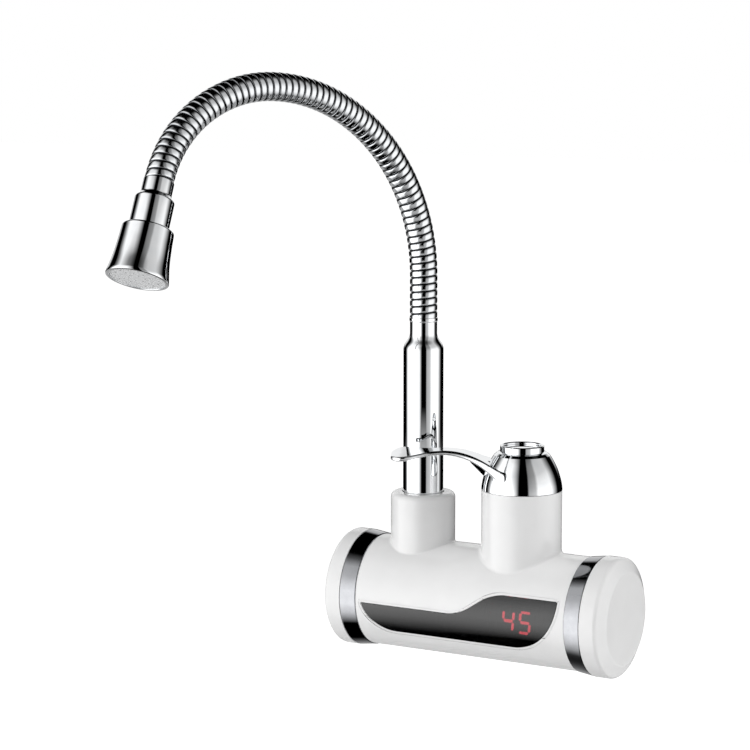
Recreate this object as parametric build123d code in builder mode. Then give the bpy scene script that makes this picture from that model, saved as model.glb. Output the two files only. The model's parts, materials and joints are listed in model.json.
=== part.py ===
from build123d import *
import math
import os

os.makedirs("parts", exist_ok=True)

# Wall-mounted electric hot water tap, in millimetres.
# The origin is the middle of the rear inlet on the wall plane. X runs along the barrel, -Y points into the
# room, Z is up. The handle and the valve stand above the inlet, the spout stands to the left of them.

# Barrel
axis_out = 60.0
barrel_radius = 30.3
shell_wall = 1.9
shell_length = 123.9
barrel_shift = -22.6
ring_width = 9.5
ring_proud = 0.35
ring_edge = 0.6
cap_proud = 1.6
cap_length = 12.5
cap_bevel_along = 3.7
cap_bevel_across = 7.2
cap_edge = 2.5
spigot_reach = 1.2

# Gaps: between pieces that fit closely, between pieces that turn or slide, and at ends that must not touch
snug = 0.1
running_gap = 0.05
end_gap = 0.5

# Spout collar and handle stub, both part of the shell
spout_spacing = 59.7
collar_radius = 17.5
collar_top = 56.7
collar_edge = 3.0
collar_root = 1.0
collar_lip = 4.0
stub_radius = 21.4
stub_top = 63.0
stub_root = 2.5

# Display window on the front of the shell, measured across the front from the middle of the barrel
window_left_inset = 22.2
window_right_inset = 32.1
window_bottom = -16.2
window_corner = 27.6
window_tail = 19.7
window_tail_turn = 75.0
window_step = 10.1
window_slope = 34.0
window_step_round = 23.4
window_thickness = 2.3
bezel_width = 1.5
bezel_lip = 1.5

# Display behind the window, measured from the handle axis
digit_height = 11.6
digit_width = 7.0
digit_gap = 2.6
digit_stroke = 1.3
digit_slant = 6.0
stroke_gap = 0.6
digit_end_gap = 29.6
digit_level = -2.4
board_clearance = 1.65
module_margin = 1.8
segment_depth = 0.3
board_margin = 2.4

# Heater tank
tank_wall = 1.0
tank_edge = 0.9
tank_end_gap = 3.9
flange_gap = 2.5
flange_width = 6.5
flange_thickness = 2.0
lid_thickness = 4.0
seal_thickness = 1.0
neck_radius = 7.0
neck_bore = 5.0
neck_insert = 5.0
element_radius = 3.3
element_offset = 9.0
element_bend = 7.0
element_end_gap = 16.0
element_tail = 6.0
probe_radius = 2.0
probe_length = 24.0
probe_tail = 3.0
tank_screw = 1.5
tank_screw_count = 6
tank_screw_tail = 1.0
cradle_width = 6.0
cradle_gap = 1.3
cutout_radius = 8.0
cutout_seat = 5.0
cutout_height = 6.0

# Valve and cartridge
valve_radius = 17.5
valve_bottom = -22.0
valve_top = 36.0
valve_floor = 8.0
cartridge_radius = 13.5
cartridge_top = 54.0
cartridge_shoulder = 40.0
cartridge_waist = 9.0
stem_radius = 5.0
stem_bottom = 24.0
spline_radius = 4.0
spline_bottom = 66.0
spline_top = 78.0
nut_height = 7.0
nut_flats = 33.0
disc_height = 3.0
disc_radius = 8.0
disc_port = 5.2
disc_hole = 1.8
cartridge_foot = 4.0
water_way = 2.6
port_inset = 4.0

# Flow switch between the valve and the tank lid
switch_length = 13.5
switch_radius = 8.8
switch_bore = 4.8
switch_end_wall = 1.0
magnet_length = 5.0
magnet_travel = 2.5
magnet_bore = 1.3
feed_radius = 4.0
switch_way = 3.0
lead_gap = 0.6

# Inlet
inlet_thread = 20.955
inlet_bore = 7.5
inlet_reach = 16.0
thread_lead = 1.0
port_radius = 14.0
port_depth = 8.0
boss_radius = 15.0
boss_height = 3.5
locknut_width = 27.0
locknut_height = 6.0
rose_radius = 17.4
rose_depth = 13.0
rose_wall = 1.2
rose_edge = 3.0
screen_seat = 2.0
screen_length = 6.0
screen_rim = 1.4
screen_thickness = 1.0
screen_pitch = 2.2
screen_hole = 1.3
screen_row_count = 5

# Cable bush at the back
bush_end_gap = 10.5
bush_radius = 7.0
bush_flange = 9.5
bush_flange_height = 2.5
bush_length = 12.5
bush_inset = 4.0
bush_bore = 3.6

# Control board in the right-hand end
board_end_gap = 12.5
board_width = 38.0
board_height = 34.0
board_thickness = 1.6
board_screw = 1.0
board_screw_head = 2.2
board_screw_height = 1.4
board_screw_grip = 1.8
carrier_stand = 4.0
carrier_thickness = 2.0
carrier_gap = 1.8
carrier_band = 8.0
peg_inset = 3.0
peg_radius = 2.5
relay_place = (-6.0, 4.0)
relay_width = 19.0
relay_depth = 15.0
relay_edge = 1.0
block_level = -11.0
block_width = 24.0
block_height = 9.0
block_depth = 11.0
sink_across = 9.0
sink_back = 2.5
sink_fin = 1.2
sink_fin_count = 4

# Handle; the dome is given as radius and level up its side
dome_bottom = 63.3
dome_radius = 21.5
dome_side = ((21.2, 66.2), (20.2, 70.4), (18.6, 74.9), (16.7, 78.7))
dome_crown = (14.9, 81.7)
dome_wall = 2.5
dome_step = (13.4, 83.0)
rim_radius = 11.7
rim_top = 87.0
rim_edge = 0.5
recess_radius = 10.0
recess_floor = 84.0
hub_radius = 7.5
hollow_top = 79.5
screw_recess = 5.2
screw_drop = 3.2
screw_head = 4.8
screw_height = 2.8
screw_shank = 2.4
screw_grip = 9.0
screw_key = 3.0
index_height = 1.6
index_edge = 0.5

# Lever sections out from the handle axis: reach, width, level of the underside and of the top, corner
# radius, and the angle by which the top leans towards the room
lever_heading = 207.5
lever_sections = (
    (8.7, 36.0, 63.7, 74.6, 2.0, 0.0),
    (16.0, 25.0, 71.6, 77.4, 2.0, 3.0),
    (23.0, 15.0, 76.9, 80.6, 1.7, 5.0),
    (32.0, 10.5, 80.6, 83.5, 1.3, 6.0),
    (44.0, 8.6, 82.0, 84.3, 1.0, 5.0),
    (57.0, 14.6, 80.9, 83.2, 1.0, 9.0),
    (69.4, 10.0, 79.5, 81.4, 0.9, 3.0),
)
lever_web = ((28.6, 79.6), (27.2, 77.3), (20.6, 70.6), (15.0, 70.6), (15.0, 78.0))
lever_web_thickness = 2.0

# Spout column
tube_radius = 10.9
tube_bore = 6.5
tube_bottom = 36.0
tube_top = 78.0
spigot_radius = 8.5
spigot_top = 103.5
sleeve_radius = 10.8
sleeve_bottom = 79.0
sleeve_edge = 2.0
shoulder_bottom = 134.0
shoulder_top = 143.0
neck_outer = 7.3
neck_lip = 7.6
neck_top = 151.5
socket_radius = 14.2
socket_bottom = 26.0
socket_top = 52.4
clip_lift = 1.2
clip_height = 1.5
clip_depth = 1.0
clip_reach = 1.1
clip_opening = 3.0
seal_section = 0.92
seal_depth = 1.9
seal_lifts = (6.5, 11.0)
seal_gap = 0.02
grub_radius = 2.0
grub_key = 2.0
grub_key_depth = 1.8
sleeve_seat = 106.0
sleeve_cone = 3.0
lip_height = 1.8
lip_edge = 0.3
barb_insert = 5.0
barb_flange = 1.5
barb_length = 10.0
barb_bore = 2.0

# Gooseneck: a straight leg, then bends given as centreline radius, turn and roll of the bending plane
hose_heading = 67.25
leg_top = 173.7
bend_radii = (102.3, 74.6, 73.5)
bend_turns = (88.6, 26.0, 43.3)
bend_rolls = (0.0, 0.0, 17.7)
rib_count = 69
rear_rib_count = 38
crown_rib_count = 17
rib_crest = 7.4
rib_groove = 6.7
groove_share = 0.12
rise_share = 0.28
crest_share = 0.84
hose_bore = 4.5
liner_radius = 4.0
liner_bore = 3.0
liner_start = 108.0
liner_entry = 12.0

# Spray head, measured along its own axis from the end of the hose
ferrule_neck = 7.7
ferrule_neck_end = 7.0
ferrule_shoulder_end = 10.6
ferrule_radius = 9.9
ferrule_end = 42.0
ferrule_bore = 6.6
barb_seat = 14.0
head_barb_reach = 9.0
head_barb_flange = 2.0
groove_levels = (29.8, 35.8)
groove_half = 0.8
groove_floor = 8.8
ferrule_seal = 0.52
bell_start = 25.0
bell_lip = 12.95
bell_edge = 1.2
bell_lead = 0.4
bell_flare = ((13.35, 33.5), (14.2, 42.5))
bell_mouth = 15.8
mouth_edge = 0.6
bell_end = 51.7
bell_relief = 1.3
bell_guide = 4.0
face_radius = 13.9
face_recess = 0.7
face_thickness = 2.4
nozzle_circles = (4.2, 7.6, 11.0)
nozzle_counts = (6, 10, 14)
nozzle_radius = 0.5
plunger_lift = 4.0
plunger_disc = 2.5
plunger_stem = 2.5
plunger_port = 1.0
plunger_port_count = 6
slide_gap = 0.08

# Places and sizes that follow from those above
spout_x = -spout_spacing
shell_half = shell_length / 2
shell_right = barrel_shift + shell_half
bore_radius = barrel_radius - shell_wall
cap_radius = barrel_radius + cap_proud
window_left = window_left_inset - shell_half
window_right = shell_half - window_right_inset
window_inner = barrel_radius - window_thickness
flange_radius = bore_radius - flange_gap
tank_radius = flange_radius - flange_width
tank_left = barrel_shift - shell_half + tank_end_gap
tank_right = -valve_radius - switch_length - lid_thickness - seal_thickness
bush_offset = shell_right - bush_end_gap
board_offset = shell_right - board_end_gap
carrier_radius = window_inner - bezel_lip - carrier_gap
neck_end = socket_bottom + neck_insert
clip_level = tube_bottom + clip_lift
grub_level = (socket_top + bore_radius) / 2

# Planes and axes that the pieces are drawn on
barrel = Plane(origin=(barrel_shift, -axis_out, 0), x_dir=(0, 1, 0), z_dir=(1, 0, 0))
front = Plane(origin=(barrel_shift, -axis_out, 0), x_dir=(1, 0, 0), z_dir=(0, -1, 0))
handle_up = Plane(origin=(0, -axis_out, 0))
handle_side = Plane(origin=(0, -axis_out, 0), x_dir=(1, 0, 0), z_dir=(0, -1, 0))
handle_axis = Axis((0, -axis_out, 0), (0, 0, 1))
spout_up = Plane(origin=(spout_x, -axis_out, 0))
spout_side = Plane(origin=(spout_x, -axis_out, 0), x_dir=(1, 0, 0), z_dir=(0, -1, 0))
spout_axis = Axis((spout_x, -axis_out, 0), (0, 0, 1))
wall = Plane(origin=(0, 0, 0), x_dir=(1, 0, 0), z_dir=(0, -1, 0))
along = Plane(origin=(0, -axis_out, 0), x_dir=(0, 1, 0), z_dir=(1, 0, 0))


def ring(plane, outer, inner, length):
    """A plain ring or bush that stands on a plane."""
    with BuildPart() as piece:
        with BuildSketch(plane):
            Circle(outer)
            Circle(inner, mode=Mode.SUBTRACT)
        extrude(amount=length)
    return piece


def seal(plane, axis, section, mean_radius, levels):
    """Round rings of one section about an axis, one at each level."""
    with BuildPart() as piece:
        with BuildSketch(plane):
            with Locations(*[(mean_radius, level) for level in levels]):
                Circle(section)
        revolve(axis=axis)
    return piece


def window_face(grow):
    """The outline of the display window as seen from the front, grown all round."""
    top_left = window_bottom + window_tail * (1 - math.cos(math.radians(window_tail_turn)))
    top_right = window_bottom + window_corner
    half_step = (top_right - top_left) / math.tan(math.radians(window_slope)) / 2
    with BuildSketch(front) as outline:
        with BuildLine():
            bottom = Line((window_left, window_bottom), (window_right, window_bottom))
            corner = JernArc(bottom @ 1, (1, 0), window_corner, 90)
            tail = JernArc(bottom @ 0, (-1, 0), window_tail, -window_tail_turn)
            FilletPolyline(
                corner @ 1,
                (window_step + half_step, top_right),
                (window_step - half_step, top_left),
                tail @ 1,
                radius=window_step_round,
            )
        make_face()
        if grow:
            offset(amount=grow, kind=Kind.ARC)
    return outline.sketch


def curved_plate(inner, outer, face):
    """The part of a tube about the barrel axis that lies behind a face on the front plane."""
    with BuildPart() as piece:
        with BuildSketch(barrel.offset(-shell_half)):
            Circle(outer)
            Circle(inner, mode=Mode.SUBTRACT)
        extrude(amount=shell_length)
        extrude(face, amount=cap_radius, mode=Mode.INTERSECT)
    return piece


# Shell

with BuildPart() as body_shell:
    with BuildSketch(barrel.offset(-shell_half)):
        Circle(barrel_radius)
    extrude(amount=shell_length)
    with BuildSketch(spout_up):
        Circle(collar_radius)
    extrude(amount=collar_top)
    with BuildSketch(handle_up):
        Circle(stub_radius)
    extrude(amount=stub_top)
    roots = body_shell.edges().filter_by(GeomType.BSPLINE).sort_by(Axis.X)
    fillet(roots[0], radius=collar_root)
    roots = body_shell.edges().filter_by(GeomType.BSPLINE).sort_by(Axis.X)
    fillet(roots[-1], radius=stub_root)
    collar_rim = body_shell.edges().filter_by_position(Axis.Z, collar_top - snug, collar_top + snug)
    fillet(collar_rim, radius=collar_edge)
    with BuildSketch(wall.offset(axis_out - barrel_radius - boss_height)):
        Circle(boss_radius)
    extrude(amount=boss_height + shell_wall)
    with BuildSketch(barrel.offset(-shell_half)):
        Circle(bore_radius)
    extrude(amount=shell_length, mode=Mode.SUBTRACT)
    with BuildSketch(spout_up):
        Circle(socket_radius + snug)
    extrude(amount=collar_top - collar_lip, mode=Mode.SUBTRACT)
    with BuildSketch(spout_up):
        Circle(tube_radius + end_gap)
    extrude(amount=collar_top, mode=Mode.SUBTRACT)
    with BuildSketch(handle_up):
        Circle(stub_radius - shell_wall)
    extrude(amount=stub_top, mode=Mode.SUBTRACT)
    extrude(window_face(bezel_width + snug), amount=cap_radius, mode=Mode.SUBTRACT)
    with BuildSketch(wall):
        Circle(inlet_thread / 2 + 2 * snug)
        with Locations((bush_offset, 0)):
            Circle(bush_radius + snug)
    extrude(amount=axis_out - bore_radius + shell_wall, mode=Mode.SUBTRACT)
    with BuildSketch(spout_side.offset(-collar_radius - shell_wall)):
        with Locations((0, grub_level)):
            Circle(grub_radius + snug)
    extrude(amount=collar_radius, mode=Mode.SUBTRACT)
body_shell.part.label = "body_shell"
export_step(body_shell.part, "parts/body_shell.step")


def trim_ring(side):
    """Bright ring that widens from the shell to an end cap; side is -1 on the left and 1 on the right."""
    inner_end = side * shell_half
    outer_end = side * (shell_half + ring_width)
    with BuildPart() as piece:
        with BuildSketch(barrel.offset(inner_end)):
            Circle(barrel_radius + ring_proud)
        with BuildSketch(barrel.offset(outer_end)):
            Circle(cap_radius)
        loft()
        fillet(piece.edges().filter_by(GeomType.CIRCLE), radius=ring_edge)
        with BuildSketch(barrel.offset(inner_end)):
            Circle(bore_radius)
        extrude(amount=side * ring_width, mode=Mode.SUBTRACT)
    return piece


def end_cap(side):
    """Closed white cap with a spigot that passes through the trim ring into the shell."""
    start = side * (shell_half + ring_width)
    plane = barrel.offset(start)
    with BuildPart() as piece:
        with BuildSketch(plane):
            Circle(cap_radius)
        extrude(amount=side * (cap_length - cap_bevel_along))
        with BuildSketch(plane.offset(side * (cap_length - cap_bevel_along))):
            Circle(cap_radius)
        with BuildSketch(plane.offset(side * cap_length)):
            Circle(cap_radius - cap_bevel_across)
        loft()
        bevel = piece.edges().filter_by(GeomType.CIRCLE).sort_by(Axis.X)
        fillet(bevel[1:] if side > 0 else bevel[:-1], radius=cap_edge)
        with BuildSketch(plane):
            Circle(bore_radius - snug)
        extrude(amount=-side * (ring_width + spigot_reach))
        with BuildSketch(plane.offset(-side * (ring_width + spigot_reach))):
            Circle(bore_radius - snug - shell_wall)
        extrude(amount=side * (ring_width + spigot_reach + cap_length - shell_wall), mode=Mode.SUBTRACT)
    return piece


left_trim_ring = trim_ring(-1)
left_trim_ring.part.label = "left_trim_ring"
export_step(left_trim_ring.part, "parts/left_trim_ring.step")

right_trim_ring = trim_ring(1)
right_trim_ring.part.label = "right_trim_ring"
export_step(right_trim_ring.part, "parts/right_trim_ring.step")

left_end_cap = end_cap(-1)
left_end_cap.part.label = "left_end_cap"
export_step(left_end_cap.part, "parts/left_end_cap.step")

right_end_cap = end_cap(1)
right_end_cap.part.label = "right_end_cap"
export_step(right_end_cap.part, "parts/right_end_cap.step")

# Display

with BuildPart() as display_bezel:
    with BuildSketch(barrel.offset(-shell_half)):
        Circle(barrel_radius)
        Circle(window_inner - bezel_lip, mode=Mode.SUBTRACT)
    extrude(amount=shell_length)
    extrude(window_face(bezel_width), amount=cap_radius, mode=Mode.INTERSECT)
    extrude(window_face(-bezel_lip), amount=cap_radius, mode=Mode.SUBTRACT)
    seat = curved_plate(window_inner - snug, barrel_radius + ring_proud, window_face(snug))
    add(seat.part, mode=Mode.SUBTRACT)
display_bezel.part.label = "display_bezel"
export_step(display_bezel.part, "parts/display_bezel.step")

display_window = curved_plate(window_inner, barrel_radius - snug, window_face(0))
display_window.part.label = "display_window"
export_step(display_window.part, "parts/display_window.step")

module_width = 2 * digit_width + digit_gap + 2 * module_margin
module_height = digit_height + 2 * module_margin
module_front = math.sqrt((window_inner - bezel_lip) ** 2 - (module_height / 2 - digit_level) ** 2)
board_front = valve_radius + board_clearance + board_thickness
module_depth = module_front - segment_depth - board_front
display = Plane(
    origin=(shell_right - digit_end_gap, -axis_out, digit_level), x_dir=(1, 0, 0), z_dir=(0, -1, 0)
)
with BuildPart() as digit_module:
    with BuildSketch(display.offset(board_front)):
        Rectangle(module_width, module_height)
    extrude(amount=module_depth)
digit_module.part.label = "digit_module"
export_step(digit_module.part, "parts/digit_module.step")

# Each digit has seven strokes: three level ones and four upright ones, in the order top, middle, bottom,
# upper left, upper right, lower left, lower right.
digit_strokes = {
    "4": (False, True, False, True, True, False, True),
    "5": (True, True, True, True, False, False, True),
}


def stroke_places(digit):
    """Middle, length and direction of each lit stroke of a digit, from the digit's own middle."""
    half = digit_width / 2 - digit_stroke / 2
    tall = digit_height / 2 - digit_stroke / 2
    places = (
        (0, tall, True),
        (0, 0, True),
        (0, -tall, True),
        (-half, tall / 2, False),
        (half, tall / 2, False),
        (-half, -tall / 2, False),
        (half, -tall / 2, False),
    )
    return [place for place, lit in zip(places, digit_strokes[digit]) if lit]


with BuildPart() as digit_segments:
    with BuildSketch(display.offset(board_front + module_depth)):
        for digit, place in (("4", -1), ("5", 1)):
            middle = place * (digit_width + digit_gap) / 2
            for across, up, level in stroke_places(digit):
                lean = up * math.tan(math.radians(digit_slant))
                span = digit_width if level else digit_height / 2
                with Locations((middle + across + lean, up)):
                    SlotOverall(
                        span - digit_stroke - stroke_gap,
                        digit_stroke,
                        rotation=0 if level else 90 - digit_slant,
                    )
    extrude(amount=segment_depth)
digit_segments.part.label = "digit_segments"
export_step(digit_segments.part, "parts/digit_segments.step")

with BuildPart() as display_board:
    with BuildSketch(display.offset(board_front - board_thickness)):
        Rectangle(module_width + 2 * board_margin, module_height + 2 * board_margin)
    extrude(amount=board_thickness)
display_board.part.label = "display_board"
export_step(display_board.part, "parts/display_board.step")

with BuildPart() as display_bracket:
    with BuildSketch(display):
        Rectangle(module_width, module_height)
    extrude(amount=board_front - board_thickness)
    with BuildSketch(handle_up.offset(valve_bottom)):
        Circle(valve_radius + snug)
    extrude(amount=valve_top - valve_bottom, mode=Mode.SUBTRACT)
    with BuildSketch(display):
        Rectangle(2 * module_width, 2 * module_height)
    extrude(amount=valve_radius / 2, mode=Mode.SUBTRACT)
display_bracket.part.label = "display_bracket"
export_step(display_bracket.part, "parts/display_bracket.step")

# Heater tank

tank_length = tank_right - tank_left
lid_start = tank_right + seal_thickness
bolt_circle = (tank_radius + flange_radius + tank_wall) / 2
with BuildPart() as heater_tank:
    with BuildSketch(along.offset(tank_left)):
        Circle(tank_radius)
    extrude(amount=tank_length)
    left_edge = heater_tank.edges().filter_by(GeomType.CIRCLE).sort_by(Axis.X)[0]
    fillet(left_edge, radius=tank_edge)
    with BuildSketch(along.offset(tank_right - flange_thickness)):
        Circle(flange_radius)
        with PolarLocations(bolt_circle, tank_screw_count):
            Circle(tank_screw + snug, mode=Mode.SUBTRACT)
    extrude(amount=flange_thickness)
    with BuildSketch(spout_up):
        Circle(neck_radius)
    extrude(amount=neck_end)
    with BuildSketch(along.offset(tank_left + tank_wall)):
        Circle(tank_radius - tank_wall)
    extrude(amount=tank_length, mode=Mode.SUBTRACT)
    with BuildSketch(spout_up):
        Circle(neck_bore)
    extrude(amount=neck_end, mode=Mode.SUBTRACT)
heater_tank.part.label = "heater_tank"
export_step(heater_tank.part, "parts/heater_tank.step")

tank_seal = ring(along.offset(tank_right), tank_radius + tank_wall, tank_radius - tank_wall, seal_thickness)
tank_seal.part.label = "tank_seal"
export_step(tank_seal.part, "parts/tank_seal.step")

with BuildPart() as tank_lid:
    with BuildSketch(along.offset(lid_start)):
        Circle(flange_radius)
        Circle(feed_radius, mode=Mode.SUBTRACT)
        with PolarLocations(bolt_circle, tank_screw_count):
            Circle(tank_screw + snug, mode=Mode.SUBTRACT)
        with Locations((element_bend, element_offset), (-element_bend, element_offset)):
            Circle(element_radius + snug, mode=Mode.SUBTRACT)
        with Locations((0, -element_offset)):
            Circle(probe_radius + snug, mode=Mode.SUBTRACT)
    extrude(amount=lid_thickness)
tank_lid.part.label = "tank_lid"
export_step(tank_lid.part, "parts/tank_lid.step")

with BuildPart() as tank_screws:
    with BuildSketch(along.offset(lid_start + lid_thickness)):
        with PolarLocations(bolt_circle, tank_screw_count):
            Circle(2 * tank_screw)
    extrude(amount=tank_screw)
    with BuildSketch(along.offset(tank_right - flange_thickness - tank_screw_tail)):
        with PolarLocations(bolt_circle, tank_screw_count):
            Circle(tank_screw)
    extrude(amount=tank_screw_tail + flange_thickness + seal_thickness + lid_thickness)
tank_screws.part.label = "tank_screws"
export_step(tank_screws.part, "parts/tank_screws.step")

element_far = tank_left + element_end_gap
element_near = lid_start + lid_thickness + element_tail
with BuildPart() as heating_element:
    with BuildLine():
        FilletPolyline(
            (element_near, -axis_out + element_bend, element_offset),
            (element_far, -axis_out + element_bend, element_offset),
            (element_far, -axis_out - element_bend, element_offset),
            (element_near, -axis_out - element_bend, element_offset),
            radius=element_bend - snug,
        )
    with BuildSketch(along.offset(element_near)):
        with Locations((element_bend, element_offset)):
            Circle(element_radius)
    sweep()
heating_element.part.label = "heating_element"
export_step(heating_element.part, "parts/heating_element.step")

with BuildPart() as temperature_probe:
    with BuildSketch(along.offset(lid_start + lid_thickness + probe_tail)):
        with Locations((0, -element_offset)):
            Circle(probe_radius)
    extrude(amount=-probe_length)
temperature_probe.part.label = "temperature_probe"
export_step(temperature_probe.part, "parts/temperature_probe.step")

with BuildPart() as tank_cradle:
    for start in (
        spout_x - cutout_radius - cradle_gap - cradle_width,
        spout_x + cutout_radius + cradle_gap,
    ):
        with BuildSketch(along.offset(start)):
            Circle(bore_radius - snug)
            Circle(tank_radius + snug, mode=Mode.SUBTRACT)
            with Locations((-bore_radius, 0)):
                Rectangle(2 * bore_radius, 2 * bore_radius, mode=Mode.SUBTRACT)
            with Locations((0, bore_radius)):
                Rectangle(2 * bore_radius, bore_radius, mode=Mode.SUBTRACT)
        extrude(amount=cradle_width)
tank_cradle.part.label = "tank_cradle"
export_step(tank_cradle.part, "parts/tank_cradle.step")

with BuildPart() as thermal_cutout:
    with BuildSketch(spout_side.offset(-tank_radius - end_gap)):
        Circle(cutout_radius)
    extrude(amount=-cutout_height)
    with BuildSketch(spout_side.offset(-tank_radius + tank_wall)):
        Circle(cutout_seat)
    extrude(amount=-cutout_height)
    with BuildSketch(along.offset(tank_left)):
        Circle(tank_radius + snug)
    extrude(amount=tank_length, mode=Mode.SUBTRACT)
thermal_cutout.part.label = "thermal_cutout"
export_step(thermal_cutout.part, "parts/thermal_cutout.step")

# Valve

valve_port = axis_out - bore_radius + port_inset
fixed_disc_base = stem_bottom - 2 * disc_height - snug
with BuildPart() as valve_body:
    with BuildSketch(handle_up.offset(valve_bottom)):
        Circle(valve_radius)
    extrude(amount=valve_top - valve_bottom)
    with BuildSketch(wall.offset(valve_port)):
        Circle(port_radius)
    extrude(amount=axis_out - valve_port)
    with BuildSketch(handle_up.offset(valve_floor)):
        Circle(cartridge_radius + snug)
    extrude(amount=valve_top - valve_floor, mode=Mode.SUBTRACT)
    with BuildSketch(wall.offset(valve_port)):
        Circle(inlet_thread / 2 + snug)
    extrude(amount=port_depth, mode=Mode.SUBTRACT)
    with BuildSketch(handle_up.offset(valve_floor)):
        Circle(disc_radius)
    extrude(amount=fixed_disc_base - valve_floor)
    with BuildSketch(wall.offset(valve_port)):
        Circle(water_way)
    extrude(amount=axis_out - valve_port, mode=Mode.SUBTRACT)
    with BuildSketch(handle_up):
        Circle(disc_hole)
        with Locations((-disc_port, 0)):
            Circle(disc_hole)
    extrude(amount=fixed_disc_base, mode=Mode.SUBTRACT)
    with BuildSketch(along.offset(-valve_radius)):
        Circle(feed_radius)
    extrude(amount=valve_radius - disc_port, mode=Mode.SUBTRACT)
valve_body.part.label = "valve_body"
export_step(valve_body.part, "parts/valve_body.step")

with BuildPart() as cartridge_body:
    with BuildSketch(handle_up.offset(valve_floor + cartridge_foot)):
        Circle(cartridge_radius)
    extrude(amount=cartridge_shoulder - valve_floor - cartridge_foot)
    with BuildSketch(handle_up.offset(cartridge_shoulder)):
        Circle(cartridge_waist)
    extrude(amount=cartridge_top - cartridge_shoulder)
    with BuildSketch(handle_up):
        Circle(stem_radius + running_gap)
    extrude(amount=cartridge_top, mode=Mode.SUBTRACT)
    with BuildSketch(handle_up):
        Circle(disc_radius + 3 * snug)
    extrude(amount=stem_bottom + 2 * snug, mode=Mode.SUBTRACT)
cartridge_body.part.label = "cartridge_body"
export_step(cartridge_body.part, "parts/cartridge_body.step")

cartridge_gasket = ring(
    handle_up.offset(valve_floor), cartridge_radius - end_gap, disc_radius + end_gap, cartridge_foot
)
cartridge_gasket.part.label = "cartridge_gasket"
export_step(cartridge_gasket.part, "parts/cartridge_gasket.step")

with BuildPart() as fixed_ceramic_disc:
    with BuildSketch(handle_up.offset(fixed_disc_base)):
        Circle(disc_radius)
        with Locations((0, 0), (-disc_port, 0)):
            Circle(disc_hole, mode=Mode.SUBTRACT)
    extrude(amount=disc_height)
fixed_ceramic_disc.part.label = "fixed_ceramic_disc"
export_step(fixed_ceramic_disc.part, "parts/fixed_ceramic_disc.step")

with BuildPart() as cartridge_nut:
    with BuildSketch(handle_up.offset(valve_top + end_gap)):
        Circle(valve_radius)
        Circle(cartridge_radius + snug, mode=Mode.SUBTRACT)
    extrude(amount=cartridge_shoulder - valve_top - end_gap)
    with BuildSketch(handle_up.offset(cartridge_shoulder)):
        RegularPolygon(nut_flats / 2, 6, major_radius=False)
        Circle(cartridge_waist + snug, mode=Mode.SUBTRACT)
    extrude(amount=nut_height)
    with BuildSketch(handle_up.offset(valve_top)):
        Circle(stub_radius - shell_wall - end_gap)
    extrude(amount=cartridge_shoulder + nut_height - valve_top, mode=Mode.INTERSECT)
cartridge_nut.part.label = "cartridge_nut"
export_step(cartridge_nut.part, "parts/cartridge_nut.step")

# Flow switch

switch_start = lid_start + lid_thickness
switch_end = -valve_radius
chamber_length = magnet_length + magnet_travel + 4 * snug
chamber_start = switch_end - switch_end_wall - chamber_length
with BuildPart() as flow_switch_housing:
    with BuildSketch(along.offset(switch_start)):
        Circle(switch_radius)
        with Locations((element_bend, element_offset), (-element_bend, element_offset)):
            Circle(element_radius + lead_gap, mode=Mode.SUBTRACT)
        with Locations((0, -element_offset)):
            Circle(probe_radius + lead_gap, mode=Mode.SUBTRACT)
    extrude(amount=switch_end - switch_start)
    with BuildSketch(along.offset(chamber_start)):
        Circle(switch_bore)
    extrude(amount=chamber_length, mode=Mode.SUBTRACT)
    with BuildSketch(along.offset(switch_start)):
        Circle(switch_way)
    extrude(amount=switch_end - switch_start, mode=Mode.SUBTRACT)
    with BuildSketch(handle_up.offset(valve_bottom)):
        Circle(valve_radius + running_gap)
    extrude(amount=valve_top - valve_bottom, mode=Mode.SUBTRACT)
flow_switch_housing.part.label = "flow_switch_housing"
export_step(flow_switch_housing.part, "parts/flow_switch_housing.step")

magnet_start = chamber_start + chamber_length - 2 * snug - magnet_length
flow_magnet = ring(along.offset(magnet_start), switch_bore - snug, magnet_bore, magnet_length)
flow_magnet.part.label = "flow_magnet"
export_step(flow_magnet.part, "parts/flow_magnet.step")

# Inlet

nipple_end = valve_port + port_depth - end_gap
with BuildPart() as inlet_nipple:
    with BuildSketch(wall.offset(-inlet_reach)):
        Circle(inlet_thread / 2)
        Circle(inlet_bore, mode=Mode.SUBTRACT)
    extrude(amount=inlet_reach + nipple_end)
    mouth = inlet_nipple.edges().group_by(Axis.Y)[-1].filter_by(GeomType.CIRCLE).sort_by(SortBy.RADIUS)[-1]
    chamfer(mouth, length=thread_lead)
    with BuildSketch(wall.offset(thread_lead)):
        Circle(inlet_thread / 2)
        Circle(inlet_thread / 2 - thread_lead, mode=Mode.SUBTRACT)
    extrude(amount=2 * thread_lead, mode=Mode.SUBTRACT)
inlet_nipple.part.label = "inlet_nipple"
export_step(inlet_nipple.part, "parts/inlet_nipple.step")

screen_start = screen_seat - inlet_reach
screen_frame = ring(
    wall.offset(screen_start), inlet_bore - snug, inlet_bore - snug - screen_rim, screen_length
)
with BuildPart() as filter_screen:
    add(screen_frame.part)
    with BuildSketch(wall.offset(screen_start + screen_length - 2 * screen_thickness)):
        Circle(inlet_bore - screen_rim / 2)
        with GridLocations(screen_pitch, screen_pitch, screen_row_count, screen_row_count):
            Rectangle(screen_hole, screen_hole, mode=Mode.SUBTRACT)
    extrude(amount=screen_thickness)
filter_screen.part.label = "filter_screen"
export_step(filter_screen.part, "parts/filter_screen.step")

locknut_start = axis_out - barrel_radius - boss_height - locknut_height
with BuildPart() as inlet_locknut:
    with BuildSketch(wall.offset(locknut_start)):
        RegularPolygon(locknut_width / 2, 6, major_radius=False)
        Circle(inlet_thread / 2 + running_gap, mode=Mode.SUBTRACT)
    extrude(amount=locknut_height)
inlet_locknut.part.label = "inlet_locknut"
export_step(inlet_locknut.part, "parts/inlet_locknut.step")

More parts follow.
